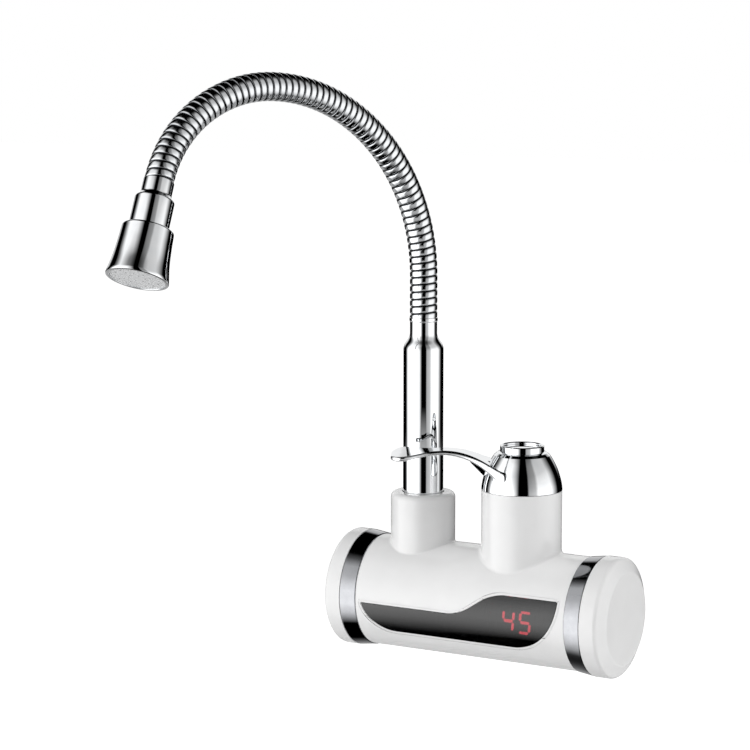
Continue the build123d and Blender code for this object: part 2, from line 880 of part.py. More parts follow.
with BuildPart() as inlet_rose:
    with BuildSketch(wall):
        Circle(rose_radius)
    extrude(amount=rose_depth)
    fillet(inlet_rose.edges().group_by(Axis.Y)[0], radius=rose_edge)
    with BuildSketch(wall):
        Circle(rose_radius - rose_wall)
    extrude(amount=rose_depth - rose_edge, mode=Mode.SUBTRACT)
    with BuildSketch(wall):
        Circle(rose_radius - rose_wall - rose_edge)
    extrude(amount=rose_depth - rose_wall, mode=Mode.SUBTRACT)
    with BuildSketch(wall):
        Circle(inlet_thread / 2 + 3 * snug)
    extrude(amount=rose_depth, mode=Mode.SUBTRACT)
inlet_rose.part.label = "inlet_rose"
export_step(inlet_rose.part, "parts/inlet_rose.step")

bush = Plane(
    origin=(bush_offset, -axis_out + bore_radius - bush_inset, 0), x_dir=(1, 0, 0), z_dir=(0, 1, 0)
)
with BuildPart() as cable_bush:
    with BuildSketch(bush):
        Circle(bush_radius)
    extrude(amount=bush_length)
    with BuildSketch(bush.offset(bush_inset + shell_wall + end_gap)):
        Circle(bush_flange)
    extrude(amount=bush_flange_height)
    with BuildSketch(bush):
        Circle(bush_bore)
    extrude(amount=bush_length, mode=Mode.SUBTRACT)
cable_bush.part.label = "cable_bush"
export_step(cable_bush.part, "parts/cable_bush.step")

# Control electronics in the right-hand end

carrier_start = board_offset - carrier_stand
peg_across = board_width - 2 * peg_inset
peg_up = board_height - 2 * peg_inset
with BuildPart() as board_carrier:
    with BuildSketch(along.offset(carrier_start)):
        Circle(carrier_radius)
        Circle(carrier_radius - carrier_band, mode=Mode.SUBTRACT)
        with Locations((bore_radius, 0)):
            Rectangle(
                2 * (bush_inset + carrier_gap), 2 * (bush_radius + carrier_gap), mode=Mode.SUBTRACT
            )
    extrude(amount=carrier_thickness)
    with BuildSketch(along.offset(carrier_start + carrier_thickness)):
        with GridLocations(peg_across, peg_up, 2, 2):
            Circle(peg_radius)
            Circle(board_screw + snug, mode=Mode.SUBTRACT)
    extrude(amount=carrier_stand - carrier_thickness)
board_carrier.part.label = "board_carrier"
export_step(board_carrier.part, "parts/board_carrier.step")

with BuildPart() as control_board:
    with BuildSketch(along.offset(board_offset)):
        Rectangle(board_width, board_height)
        with GridLocations(peg_across, peg_up, 2, 2):
            Circle(board_screw + 2 * snug, mode=Mode.SUBTRACT)
    extrude(amount=board_thickness)
control_board.part.label = "control_board"
export_step(control_board.part, "parts/control_board.step")

parts_plane = along.offset(board_offset + board_thickness)
with BuildPart() as board_screws:
    with BuildSketch(parts_plane):
        with GridLocations(peg_across, peg_up, 2, 2):
            Circle(board_screw_head)
    extrude(amount=board_screw_height)
    with BuildSketch(parts_plane):
        with GridLocations(peg_across, peg_up, 2, 2):
            Circle(board_screw)
    extrude(amount=-board_thickness - board_screw_grip)
board_screws.part.label = "board_screws"
export_step(board_screws.part, "parts/board_screws.step")

with BuildPart() as power_relay:
    with BuildSketch(parts_plane):
        with Locations(relay_place):
            Rectangle(relay_width, relay_depth)
    extrude(amount=relay_depth)
    fillet(power_relay.edges().filter_by(Axis.X), radius=relay_edge)
power_relay.part.label = "power_relay"
export_step(power_relay.part, "parts/power_relay.step")

with BuildPart() as terminal_block:
    with BuildSketch(parts_plane):
        with Locations((0, block_level)):
            Rectangle(block_width, block_height)
    extrude(amount=block_depth)
    with BuildSketch(parts_plane.offset(block_depth)):
        with Locations((0, block_level)):
            with GridLocations(block_width / 3, block_height, 3, 1):
                Circle(block_height / 4)
    extrude(amount=-block_depth / 2, mode=Mode.SUBTRACT)
terminal_block.part.label = "terminal_block"
export_step(terminal_block.part, "parts/terminal_block.step")

with BuildPart() as triac_heat_sink:
    with BuildSketch(parts_plane):
        with Locations((sink_across, relay_place[1])):
            Rectangle(sink_back, relay_depth)
        with Locations((sink_across + sink_back, relay_place[1])):
            with GridLocations(sink_back, relay_depth / sink_fin_count, 1, sink_fin_count):
                Rectangle(2 * sink_back, sink_fin)
    extrude(amount=relay_depth - sink_back)
triac_heat_sink.part.label = "triac_heat_sink"
export_step(triac_heat_sink.part, "parts/triac_heat_sink.step")

# Handle

dome_foot = (dome_radius, dome_bottom)
screw_floor = recess_floor - screw_drop
with BuildPart() as handle:
    with BuildSketch(handle_side):
        with BuildLine():
            curve = Spline(dome_foot, *dome_side, dome_crown)
            Polyline(
                curve @ 1,
                dome_step,
                (rim_radius, dome_step[1] + rim_edge),
                (rim_radius, rim_top - rim_edge),
                (rim_radius - rim_edge, rim_top),
                (recess_radius + rim_edge, rim_top),
                (recess_radius, rim_top - rim_edge),
                (recess_radius, recess_floor),
                (0, recess_floor),
                (0, dome_bottom),
                curve @ 0,
            )
        make_face()
    revolve(axis=handle_axis)
    forward = Vector(1, 0, 0).rotate(Axis.Z, lever_heading)
    sideways = Vector(0, 0, 1).cross(forward)
    for reach, width, low, high, corner, lean in lever_sections:
        spot = handle_up.origin + forward * reach + Vector(0, 0, (low + high) / 2)
        across = sideways.rotate(Axis((0, 0, 0), forward), -lean)
        with BuildSketch(Plane(spot, x_dir=across, z_dir=forward)):
            RectangleRounded(width, high - low, corner)
    loft()
    with BuildSketch(Plane(handle_up.origin, x_dir=forward, z_dir=-sideways)):
        Polygon(*lever_web, align=None)
    extrude(amount=lever_web_thickness / 2, both=True)
    with BuildSketch(handle_side):
        with BuildLine():
            hollow = Spline(*[(radius - dome_wall, level) for radius, level in (dome_foot, *dome_side)])
            Polyline(
                hollow @ 1,
                (hub_radius, hollow_top),
                (hub_radius, spline_bottom),
                (0, spline_bottom),
                (0, dome_bottom - 1),
                (dome_radius - dome_wall, dome_bottom - 1),
                hollow @ 0,
            )
        make_face()
    revolve(axis=handle_axis, mode=Mode.SUBTRACT)
    with BuildSketch(handle_up):
        Circle(spline_radius + running_gap)
    extrude(amount=spline_top, mode=Mode.SUBTRACT)
    with BuildSketch(handle_up):
        Circle(screw_shank + 2 * snug)
    extrude(amount=recess_floor, mode=Mode.SUBTRACT)
    with BuildSketch(handle_up.offset(screw_floor)):
        Circle(screw_recess)
    extrude(amount=recess_floor - screw_floor, mode=Mode.SUBTRACT)
handle.part.label = "handle"
export_step(handle.part, "parts/handle.step")

with BuildPart() as handle_screw:
    with BuildSketch(handle_up.offset(screw_floor)):
        Circle(screw_head)
        RegularPolygon(screw_key / 2, 6, major_radius=False, mode=Mode.SUBTRACT)
    extrude(amount=screw_height)
    with BuildSketch(handle_up.offset(spline_top - screw_grip)):
        Circle(screw_shank)
    extrude(amount=screw_floor + end_gap - spline_top + screw_grip)
handle_screw.part.label = "handle_screw"
export_step(handle_screw.part, "parts/handle_screw.step")

with BuildPart() as index_cap:
    with BuildSketch(handle_up.offset(recess_floor)):
        Circle(recess_radius - snug)
    extrude(amount=index_height)
    fillet(index_cap.edges().group_by(Axis.Z)[-1], radius=index_edge)
index_cap.part.label = "index_cap"
export_step(index_cap.part, "parts/index_cap.step")

with BuildPart() as valve_stem:
    with BuildSketch(handle_up.offset(stem_bottom)):
        Circle(stem_radius)
    extrude(amount=spline_bottom - end_gap - stem_bottom)
    with BuildSketch(handle_up.offset(spline_bottom - end_gap)):
        Circle(spline_radius)
    extrude(amount=spline_top - spline_bottom)
    with BuildSketch(handle_up.offset(spline_top - screw_grip - end_gap)):
        Circle(screw_shank + snug)
    extrude(amount=screw_grip, mode=Mode.SUBTRACT)
valve_stem.part.label = "valve_stem"
export_step(valve_stem.part, "parts/valve_stem.step")

with BuildPart() as moving_ceramic_disc:
    with BuildSketch(handle_up.offset(stem_bottom - disc_height)):
        Circle(disc_radius)
        with Locations((-disc_port / 2, 0)):
            SlotOverall(disc_port + 2 * disc_hole, 2 * disc_hole, mode=Mode.SUBTRACT)
    extrude(amount=disc_height)
moving_ceramic_disc.part.label = "moving_ceramic_disc"
export_step(moving_ceramic_disc.part, "parts/moving_ceramic_disc.step")

# Spout column

with BuildPart() as spout_socket:
    with BuildSketch(spout_up.offset(socket_bottom)):
        Circle(socket_radius)
    extrude(amount=socket_top - socket_bottom)
    with BuildSketch(spout_up.offset(socket_bottom)):
        Circle(neck_radius + snug)
    extrude(amount=neck_insert + end_gap, mode=Mode.SUBTRACT)
    with BuildSketch(spout_up.offset(socket_bottom)):
        Circle(neck_bore)
    extrude(amount=socket_top - socket_bottom, mode=Mode.SUBTRACT)
    with BuildSketch(spout_up.offset(tube_bottom - end_gap)):
        Circle(tube_radius + running_gap)
    extrude(amount=socket_top, mode=Mode.SUBTRACT)
    with BuildSketch(spout_up.offset(clip_level - snug)):
        Circle(tube_radius + clip_reach + snug)
    extrude(amount=clip_height + end_gap, mode=Mode.SUBTRACT)
spout_socket.part.label = "spout_socket"
export_step(spout_socket.part, "parts/spout_socket.step")

with BuildPart() as spout_grub_screw:
    with BuildSketch(spout_side.offset(-socket_radius)):
        with Locations((0, grub_level)):
            Circle(grub_radius)
    extrude(amount=-(collar_radius - socket_radius))
    with BuildSketch(spout_side.offset(-collar_radius)):
        with Locations((0, grub_level)):
            RegularPolygon(grub_key / 2, 6, major_radius=False)
    extrude(amount=grub_key_depth, mode=Mode.SUBTRACT)
spout_grub_screw.part.label = "spout_grub_screw"
export_step(spout_grub_screw.part, "parts/spout_grub_screw.step")

seal_levels = [tube_bottom + lift for lift in seal_lifts]
with BuildPart() as spout_tube:
    with BuildSketch(spout_up.offset(tube_bottom)):
        Circle(tube_radius)
    extrude(amount=tube_top - tube_bottom)
    with BuildSketch(spout_up.offset(tube_top)):
        Circle(spigot_radius)
    extrude(amount=spigot_top - tube_top)
    with BuildSketch(spout_up.offset(clip_level)):
        Circle(tube_radius)
        Circle(tube_radius - clip_depth, mode=Mode.SUBTRACT)
    extrude(amount=clip_height + snug, mode=Mode.SUBTRACT)
    for level in seal_levels:
        with BuildSketch(spout_up.offset(level - seal_section - snug)):
            Circle(tube_radius)
            Circle(tube_radius - seal_depth, mode=Mode.SUBTRACT)
        extrude(amount=2 * (seal_section + snug), mode=Mode.SUBTRACT)
    with BuildSketch(spout_up.offset(tube_bottom)):
        Circle(tube_bore)
    extrude(amount=spigot_top - tube_bottom, mode=Mode.SUBTRACT)
spout_tube.part.label = "spout_tube"
export_step(spout_tube.part, "parts/spout_tube.step")

spout_seals = seal(
    spout_side, spout_axis, seal_section, tube_radius - seal_depth + seal_section + seal_gap, seal_levels
)
spout_seals.part.label = "spout_seals"
export_step(spout_seals.part, "parts/spout_seals.step")

with BuildPart() as spout_clip:
    with BuildSketch(spout_up.offset(clip_level + running_gap)):
        Circle(tube_radius + clip_reach)
        Circle(tube_radius - clip_depth + running_gap, mode=Mode.SUBTRACT)
        with Locations((tube_radius, 0)):
            Rectangle(2 * clip_opening, clip_opening, mode=Mode.SUBTRACT)
    extrude(amount=clip_height)
spout_clip.part.label = "spout_clip"
export_step(spout_clip.part, "parts/spout_clip.step")

with BuildPart() as spout_sleeve:
    with BuildSketch(spout_side):
        with BuildLine():
            foot = RadiusArc(
                (sleeve_radius - sleeve_edge, sleeve_bottom),
                (sleeve_radius, sleeve_bottom + sleeve_edge),
                -sleeve_edge,
            )
            side = Line(foot @ 1, (sleeve_radius, shoulder_bottom))
            shoulder = Spline(side @ 1, (neck_outer, shoulder_top), tangents=[(0, 1), (0, 1)])
            Polyline(
                shoulder @ 1,
                (neck_outer, neck_top - lip_height - lip_edge),
                (neck_lip, neck_top - lip_height),
                (neck_lip, neck_top - lip_edge),
                (neck_lip - lip_edge, neck_top),
                (hose_bore, neck_top),
                (hose_bore, shoulder_bottom),
                (tube_bore, shoulder_bottom - sleeve_cone),
                (tube_bore, sleeve_seat),
                (spigot_radius + running_gap, sleeve_seat),
                (spigot_radius + running_gap, sleeve_bottom),
                foot @ 0,
            )
        make_face()
    revolve(axis=spout_axis)
spout_sleeve.part.label = "spout_sleeve"
export_step(spout_sleeve.part, "parts/spout_sleeve.step")

barb_top = liner_start + barb_length
with BuildPart() as lower_barb:
    with BuildSketch(spout_up.offset(spigot_top - barb_insert)):
        Circle(tube_bore - running_gap)
    extrude(amount=barb_insert)
    with BuildSketch(spout_up.offset(spigot_top)):
        Circle(spigot_radius)
    extrude(amount=barb_flange)
    with BuildSketch(spout_up.offset(spigot_top)):
        Circle(liner_bore - running_gap)
    extrude(amount=barb_top - spigot_top)
    with BuildSketch(spout_up.offset(spigot_top - barb_insert)):
        Circle(barb_bore)
    extrude(amount=barb_top - spigot_top + barb_insert, mode=Mode.SUBTRACT)
lower_barb.part.label = "lower_barb"
export_step(lower_barb.part, "parts/lower_barb.step")

# Gooseneck hose

hose_start = Plane(
    origin=(spout_x, -axis_out, neck_top),
    x_dir=Vector(-1, 0, 0).rotate(Axis.Z, hose_heading),
    z_dir=(0, 0, 1),
)
stops = [leg_top - neck_top]
for radius, turn, roll in zip(bend_radii, bend_turns, bend_rolls):
    stops.append(stops[-1] + math.radians(turn) * radius)
hose_length = stops[-1]
rib_pitch = hose_length / rib_count


def bent(frame, radius, turn, roll):
    """A plane across the hose, carried round a bend without twist."""
    inward = frame.x_dir.rotate(Axis(frame.origin, frame.z_dir), roll)
    hinge = Axis(frame.origin + inward * radius, frame.z_dir.cross(inward))
    arm = (frame.origin - hinge.position).rotate(hinge, turn)
    return Plane(
        origin=hinge.position + arm,
        x_dir=frame.x_dir.rotate(hinge, turn),
        z_dir=frame.z_dir.rotate(hinge, turn),
    )


def hose_frame(distance):
    """The plane across the hose at a distance along it from the top of the sleeve."""
    straight = min(distance, stops[0])
    frame = hose_start.offset(straight)
    left = distance - straight
    for radius, turn, roll in zip(bend_radii, bend_turns, bend_rolls):
        if left > 0:
            share = min(left / (math.radians(turn) * radius), 1)
            frame = bent(frame, radius, turn * share, roll)
            left -= math.radians(turn) * radius
    return frame.offset(max(left, 0))


def route(start, end):
    """The centreline between two distances along the hose, in straight and round stretches."""
    marks = [start] + [stop for stop in stops if start + snug < stop < end - snug] + [end]
    with BuildLine() as line:
        for near, far in zip(marks, marks[1:]):
            points = [hose_frame(at).origin for at in (near, (near + far) / 2, far)]
            if stops[0] - snug < near and far < hose_length + snug:
                ThreePointArc(*points)
            else:
                Line(points[0], points[2])
    return line.line


def ribbed_hose(first, last):
    """The casing from one rib to another, with its ribs outside and its bore inside."""
    profile = (
        (0, rib_groove),
        (groove_share, rib_groove),
        (rise_share, rib_crest),
        (crest_share, rib_crest),
    )
    with BuildPart() as piece:
        for rib in range(first, last):
            for share, radius in profile:
                with BuildSketch(hose_frame((rib + share) * rib_pitch)):
                    Circle(radius)
        with BuildSketch(hose_frame(last * rib_pitch)):
            Circle(rib_groove)
        loft(ruled=True)
        with BuildSketch(hose_frame(first * rib_pitch)):
            Circle(hose_bore)
        sweep(path=route(first * rib_pitch, last * rib_pitch), mode=Mode.SUBTRACT)
    return piece


flex_start = rear_rib_count
flex_end = rear_rib_count + crown_rib_count
hose_rear = ribbed_hose(0, flex_start)
hose_rear.part.label = "hose_rear"
export_step(hose_rear.part, "parts/hose_rear.step")

hose_crown = ribbed_hose(flex_start, flex_end)
hose_crown.part.label = "hose_crown"
export_step(hose_crown.part, "parts/hose_crown.step")

hose_front = ribbed_hose(flex_end, rib_count)
hose_front.part.label = "hose_front"
export_step(hose_front.part, "parts/hose_front.step")

with BuildPart() as inner_hose:
    with BuildSketch(hose_frame(liner_start - neck_top)):
        Circle(liner_radius)
        Circle(liner_bore, mode=Mode.SUBTRACT)
    sweep(path=route(liner_start - neck_top, hose_length + liner_entry))
inner_hose.part.label = "inner_hose"
export_step(inner_hose.part, "parts/inner_hose.step")

# Spray head

head = hose_frame(hose_length)
head_side = Plane(origin=head.origin, x_dir=head.x_dir, z_dir=head.x_dir.cross(head.z_dir))
head_axis = Axis(head.origin, head.z_dir)

with BuildPart() as head_ferrule:
    with BuildSketch(head_side):
        with BuildLine():
            Polyline(
                (liner_radius + snug, 0),
                (ferrule_neck, 0),
                (ferrule_neck, ferrule_neck_end),
                (ferrule_radius, ferrule_shoulder_end),
                (ferrule_radius, ferrule_end),
                (ferrule_bore, ferrule_end),
                (ferrule_bore, barb_seat),
                (liner_radius + snug, barb_seat),
                close=True,
            )
        make_face()
        with Locations(*[((groove_floor + ferrule_radius) / 2, level) for level in groove_levels]):
            Rectangle(ferrule_radius - groove_floor, 2 * groove_half, mode=Mode.SUBTRACT)
    revolve(axis=head_axis)
head_ferrule.part.label = "head_ferrule"
export_step(head_ferrule.part, "parts/head_ferrule.step")

ferrule_seals = seal(
    head_side, head_axis, ferrule_seal, groove_floor + ferrule_seal + seal_gap, groove_levels
)
ferrule_seals.part.label = "ferrule_seals"
export_step(ferrule_seals.part, "parts/ferrule_seals.step")

head_barb_start = liner_entry - head_barb_reach
with BuildPart() as head_barb:
    with BuildSketch(head.offset(head_barb_start)):
        Circle(liner_bore - running_gap)
    extrude(amount=barb_seat - head_barb_start)
    with BuildSketch(head.offset(barb_seat)):
        Circle(ferrule_bore - running_gap)
    extrude(amount=head_barb_flange)
    with BuildSketch(head.offset(head_barb_start)):
        Circle(barb_bore)
    extrude(amount=barb_seat - head_barb_start + head_barb_flange, mode=Mode.SUBTRACT)
head_barb.part.label = "head_barb"
export_step(head_barb.part, "parts/head_barb.step")

face_level = bell_end - face_recess - face_thickness
bell_bore = ferrule_radius + slide_gap
with BuildPart() as spray_bell:
    with BuildSketch(head_side):
        with BuildLine():
            lip = RadiusArc(
                (bell_lip - bell_edge, bell_start), (bell_lip, bell_start + bell_edge), -bell_edge
            )
            flare = Spline(lip @ 1, *bell_flare, (bell_mouth, bell_end - mouth_edge))
            Polyline(
                flare @ 1,
                (bell_mouth - mouth_edge, bell_end),
                (face_radius + running_gap, bell_end),
                (face_radius + running_gap, face_level),
                (bell_bore + bell_relief, face_level),
                (bell_bore + bell_relief, ferrule_end + bell_guide),
                (bell_bore, ferrule_end + bell_guide),
                (bell_bore, bell_start + bell_lead),
                (bell_bore + bell_lead, bell_start),
                lip @ 0,
            )
        make_face()
    revolve(axis=head_axis)
spray_bell.part.label = "spray_bell"
export_step(spray_bell.part, "parts/spray_bell.step")

with BuildPart() as spray_face:
    with BuildSketch(head.offset(face_level)):
        Circle(face_radius)
        for radius, count in zip(nozzle_circles, nozzle_counts):
            with PolarLocations(radius, count):
                Circle(nozzle_radius, mode=Mode.SUBTRACT)
    extrude(amount=face_thickness)
spray_face.part.label = "spray_face"
export_step(spray_face.part, "parts/spray_face.step")

plunger_start = ferrule_end - plunger_lift
with BuildPart() as mode_plunger:
    with BuildSketch(head.offset(plunger_start)):
        Circle(ferrule_bore - 2 * snug)
        with PolarLocations((ferrule_bore + plunger_stem) / 2, plunger_port_count):
            Circle(plunger_port, mode=Mode.SUBTRACT)
    extrude(amount=plunger_disc)
    with BuildSketch(head.offset(plunger_start)):
        Circle(plunger_stem)
    extrude(amount=face_level - plunger_start)
mode_plunger.part.label = "mode_plunger"
export_step(mode_plunger.part, "parts/mode_plunger.step")
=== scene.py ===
import json
import math
import bpy
import bmesh
from mathutils import Matrix, Quaternion, Vector
from mathutils.geometry import interpolate_bezier


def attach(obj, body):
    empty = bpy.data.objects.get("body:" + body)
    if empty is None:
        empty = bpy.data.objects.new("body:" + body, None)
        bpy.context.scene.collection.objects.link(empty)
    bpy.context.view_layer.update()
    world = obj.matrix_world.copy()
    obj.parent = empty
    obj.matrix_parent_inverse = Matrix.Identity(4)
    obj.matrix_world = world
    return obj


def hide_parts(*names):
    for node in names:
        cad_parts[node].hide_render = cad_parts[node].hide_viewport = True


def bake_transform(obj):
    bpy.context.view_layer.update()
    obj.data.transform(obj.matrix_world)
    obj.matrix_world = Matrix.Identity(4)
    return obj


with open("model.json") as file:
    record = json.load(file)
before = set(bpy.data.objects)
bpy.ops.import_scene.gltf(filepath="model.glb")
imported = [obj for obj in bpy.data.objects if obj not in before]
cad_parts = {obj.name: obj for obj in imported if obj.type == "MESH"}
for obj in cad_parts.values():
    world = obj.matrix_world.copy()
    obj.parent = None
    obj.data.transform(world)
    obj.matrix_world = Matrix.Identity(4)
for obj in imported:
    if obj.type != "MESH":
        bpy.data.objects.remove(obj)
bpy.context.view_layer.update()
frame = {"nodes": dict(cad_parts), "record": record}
print("frame loaded")

mm = 0.001
axisOut = 60.0      # the barrel's axis stands this far from the wall
spoutX = -59.7      # the spout stands to the left of the handle, which is above the inlet


def linear(hexColour):
    # sRGB hex to the linear colour that the nodes take
    levels = [int(hexColour[start:start + 2], 16) / 255 for start in (1, 3, 5)]
    levels = [level / 12.92 if level <= 0.04045 else ((level + 0.055) / 1.055) ** 2.4 for level in levels]
    return (*levels, 1.0)


def direction(azimuth, elevation):
    # azimuth 0 points at the viewer along -Y, 90 points along +X
    turn, rise = math.radians(azimuth), math.radians(elevation)
    return Vector((math.sin(turn) * math.cos(rise), -math.cos(turn) * math.cos(rise), math.sin(rise)))


def addNode(tree, kind, settings=None, links=None):
    # settings are sockets or properties by name, and "stops" the (place, tone) pairs of a colour ramp
    node = tree.nodes.new(kind)
    for name, value in (settings or {}).items():
        if name == "stops":
            while len(node.color_ramp.elements) < len(value):
                node.color_ramp.elements.new(0.5)
            for element, (place, tone) in zip(node.color_ramp.elements, value):
                element.position = place
                element.color = tone if isinstance(tone, tuple) else (tone, tone, tone, 1.0)
        elif isinstance(name, int) or name in node.inputs:
            node.inputs[name].default_value = value
        else:
            setattr(node, name, value)
    for name, source in (links or {}).items():
        tree.links.new(source, node.inputs[name])
    return node


# camera at the photograph's viewing angle
cameraView = {"azimuth": 29.9, "elevation": 7.9, "distance": 1.3621, "lens": 120.0,
              "target": (-0.0898, -0.060, 0.118)}

cameraData = bpy.data.cameras.new("camera")
cameraData.lens = cameraView["lens"]
cameraData.sensor_width = 36.0
cameraData.clip_start = 0.05
cameraData.clip_end = 60.0
camera = bpy.data.objects.new("camera", cameraData)
bpy.context.collection.objects.link(camera)
back = direction(cameraView["azimuth"], cameraView["elevation"])
camera.location = Vector(cameraView["target"]) + back * cameraView["distance"]
camera.rotation_mode = "QUATERNION"
camera.rotation_quaternion = (-back).to_track_quat("-Z", "Y")
bpy.context.scene.camera = camera


def startMaterial(name):
    # a principled shader in an empty tree, with the piece's own coordinates for the patterns
    material = bpy.data.materials.new(name)
    material.use_nodes = True
    tree = material.node_tree
    tree.nodes.clear()
    shader = addNode(tree, "ShaderNodeBsdfPrincipled")
    addNode(tree, "ShaderNodeOutputMaterial", links={"Surface": shader.outputs["BSDF"]})
    coords = addNode(tree, "ShaderNodeTexCoord").outputs["Object"]
    return material, tree, shader, coords


def unevenRoughness(tree, shader, coords, patchMm, low, high):
    # the gloss changes slowly over patches of this size
    noise = addNode(tree, "ShaderNodeTexNoise", {"Scale": 1 / (patchMm * mm), "Detail": 3.0},
                    {"Vector": coords})
    span = addNode(tree, "ShaderNodeMapRange", {"To Min": low, "To Max": high},
                   {"Value": noise.outputs["Fac"]})
    tree.links.new(span.outputs["Result"], shader.inputs["Roughness"])
    return noise.outputs["Fac"]


def glossyPlastic(name, hexColour, dullHex, roughness, patchMm=14.0, waveMm=9.0, waveStrength=0.02):
    # a gloss with a faint long wave in the skin and a faint change of tone
    material, tree, shader, coords = startMaterial(name)
    patches = unevenRoughness(tree, shader, coords, patchMm, roughness * 0.9, roughness * 1.15)
    stops = [(0.3, linear(dullHex)), (0.7, linear(hexColour))]
    colour = addNode(tree, "ShaderNodeValToRGB", {"stops": stops}, {"Fac": patches})
    tree.links.new(colour.outputs["Color"], shader.inputs["Base Color"])
    skin = addNode(tree, "ShaderNodeTexNoise", {"Scale": 1 / (waveMm * mm), "Detail": 1.0},
                   {"Vector": coords})
    bump = addNode(tree, "ShaderNodeBump", {"Strength": waveStrength, "Distance": 0.4 * mm},
                   {"Height": skin.outputs["Fac"]})
    tree.links.new(bump.outputs["Normal"], shader.inputs["Normal"])
    shader.inputs["IOR"].default_value = 1.53
    return material


def grainedPlastic(name, hexColour, shadeHex, roughness, grainMm=0.35, depth=0.25):
    # plastic or rubber with a satin skin: a small speckle in height and tone
    # the real grain is near 0.05 mm across, too fine to show, so it is drawn coarser
    material, tree, shader, coords = startMaterial(name)
    grain = addNode(tree, "ShaderNodeTexNoise", {"Scale": 1 / (grainMm * mm), "Detail": 2.0},
                    {"Vector": coords})
    stops = [(0.35, linear(shadeHex)), (0.65, linear(hexColour))]
    colour = addNode(tree, "ShaderNodeValToRGB", {"stops": stops}, {"Fac": grain.outputs["Fac"]})
    tree.links.new(colour.outputs["Color"], shader.inputs["Base Color"])
    bump = addNode(tree, "ShaderNodeBump", {"Strength": depth, "Distance": 0.1 * mm},
                   {"Height": grain.outputs["Fac"]})
    tree.links.new(bump.outputs["Normal"], shader.inputs["Normal"])
    shader.inputs["Roughness"].default_value = roughness
    shader.inputs["IOR"].default_value = 1.5
    return material


def plating(name, hexColour, topHex, low, high, patchMm=6.0):
    # electroplated over a polished base: a mirror with slow patches that are a little less bright
    material, tree, shader, coords = startMaterial(name)
    patches = unevenRoughness(tree, shader, coords, patchMm, low, high)
    stops = [(0.3, linear(hexColour)), (0.7, linear(topHex))]
    colour = addNode(tree, "ShaderNodeValToRGB", {"stops": stops}, {"Fac": patches})
    tree.links.new(colour.outputs["Color"], shader.inputs["Base Color"])
    shader.inputs["Metallic"].default_value = 1.0
    return material


def workedMetal(name, hexColour, shadeHex, roughness, markMm=0.3):
    # bare metal, cut or pressed: fine tool marks and a slightly uneven tone
    # real marks are near 0.1 mm apart, too fine to show, so they are drawn coarser
    material, tree, shader, coords = startMaterial(name)
    marks = addNode(tree, "ShaderNodeTexNoise", {"Scale": 1 / (markMm * mm), "Detail": 2.0},
                    {"Vector": coords})
    stops = [(0.35, linear(shadeHex)), (0.65, linear(hexColour))]
    colour = addNode(tree, "ShaderNodeValToRGB", {"stops": stops}, {"Fac": marks.outputs["Fac"]})
    tree.links.new(colour.outputs["Color"], shader.inputs["Base Color"])
    bump = addNode(tree, "ShaderNodeBump", {"Strength": 0.15, "Distance": 0.05 * mm},
                   {"Height": marks.outputs["Fac"]})
    tree.links.new(bump.outputs["Normal"], shader.inputs["Normal"])
    shader.inputs["Roughness"].default_value = roughness
    shader.inputs["Metallic"].default_value = 1.0
    return material


def rolledStrip(name):
    # stainless strip: its own pale grey on the crests, and painted shade that darkens it down in the grooves
    # where the strip hooks into itself
    material, tree, shader, coords = startMaterial(name)
    crest = addNode(tree, "ShaderNodeAttribute", {"attribute_name": "crestHeight"})
    # painted shade: the colour falls to near black as the crest height drops into the groove
    stops = [(0.0, linear("#17181a")), (0.2, linear("#17181a")), (0.55, linear("#85878a")),
             (0.9, linear("#dcdee0"))]
    tone = addNode(tree, "ShaderNodeValToRGB", {"stops": stops}, {"Fac": crest.outputs["Fac"]})
    tree.links.new(tone.outputs["Color"], shader.inputs["Base Color"])
    unevenRoughness(tree, shader, coords, 2.5, 0.07, 0.16)
    shader.inputs["Metallic"].default_value = 1.0
    return material


def smokedClear(name, patchMm=25.0):
    # dyed clear polycarbonate: nearly black in the depth, but the lit strokes behind it come through
    material, tree, shader, coords = startMaterial(name)
    unevenRoughness(tree, shader, coords, 20.0, 0.02, 0.05)
    dye = addNode(tree, "ShaderNodeTexNoise", {"Scale": 1 / (patchMm * mm)}, {"Vector": coords})
    stops = [(0.3, linear("#2a2b2d")), (0.7, linear("#2e2f31"))]
    tint = addNode(tree, "ShaderNodeValToRGB", {"stops": stops}, {"Fac": dye.outputs["Fac"]})
    tree.links.new(tint.outputs["Color"], shader.inputs["Base Color"])
    shader.inputs["Transmission Weight"].default_value = 1.0
    shader.inputs["IOR"].default_value = 1.58
    shader.inputs["Specular IOR Level"].default_value = 0.08  # it mirrors little
    return material


def lightGuide(name, hexColour, paleHex, strength, patchMm=2.0):
    # milky guide over red diodes: a glow that is uneven along each stroke
    material, tree, shader, coords = startMaterial(name)
    spread = addNode(tree, "ShaderNodeTexNoise", {"Scale": 1 / (patchMm * mm)}, {"Vector": coords})
    stops = [(0.3, linear(hexColour)), (0.8, linear(paleHex))]
    colour = addNode(tree, "ShaderNodeValToRGB", {"stops": stops}, {"Fac": spread.outputs["Fac"]})
    tree.links.new(colour.outputs["Color"], shader.inputs["Emission Color"])
    tree.links.new(colour.outputs["Color"], shader.inputs["Base Color"])
    shader.inputs["Emission Strength"].default_value = strength
    shader.inputs["Roughness"].default_value = 0.5
    return material


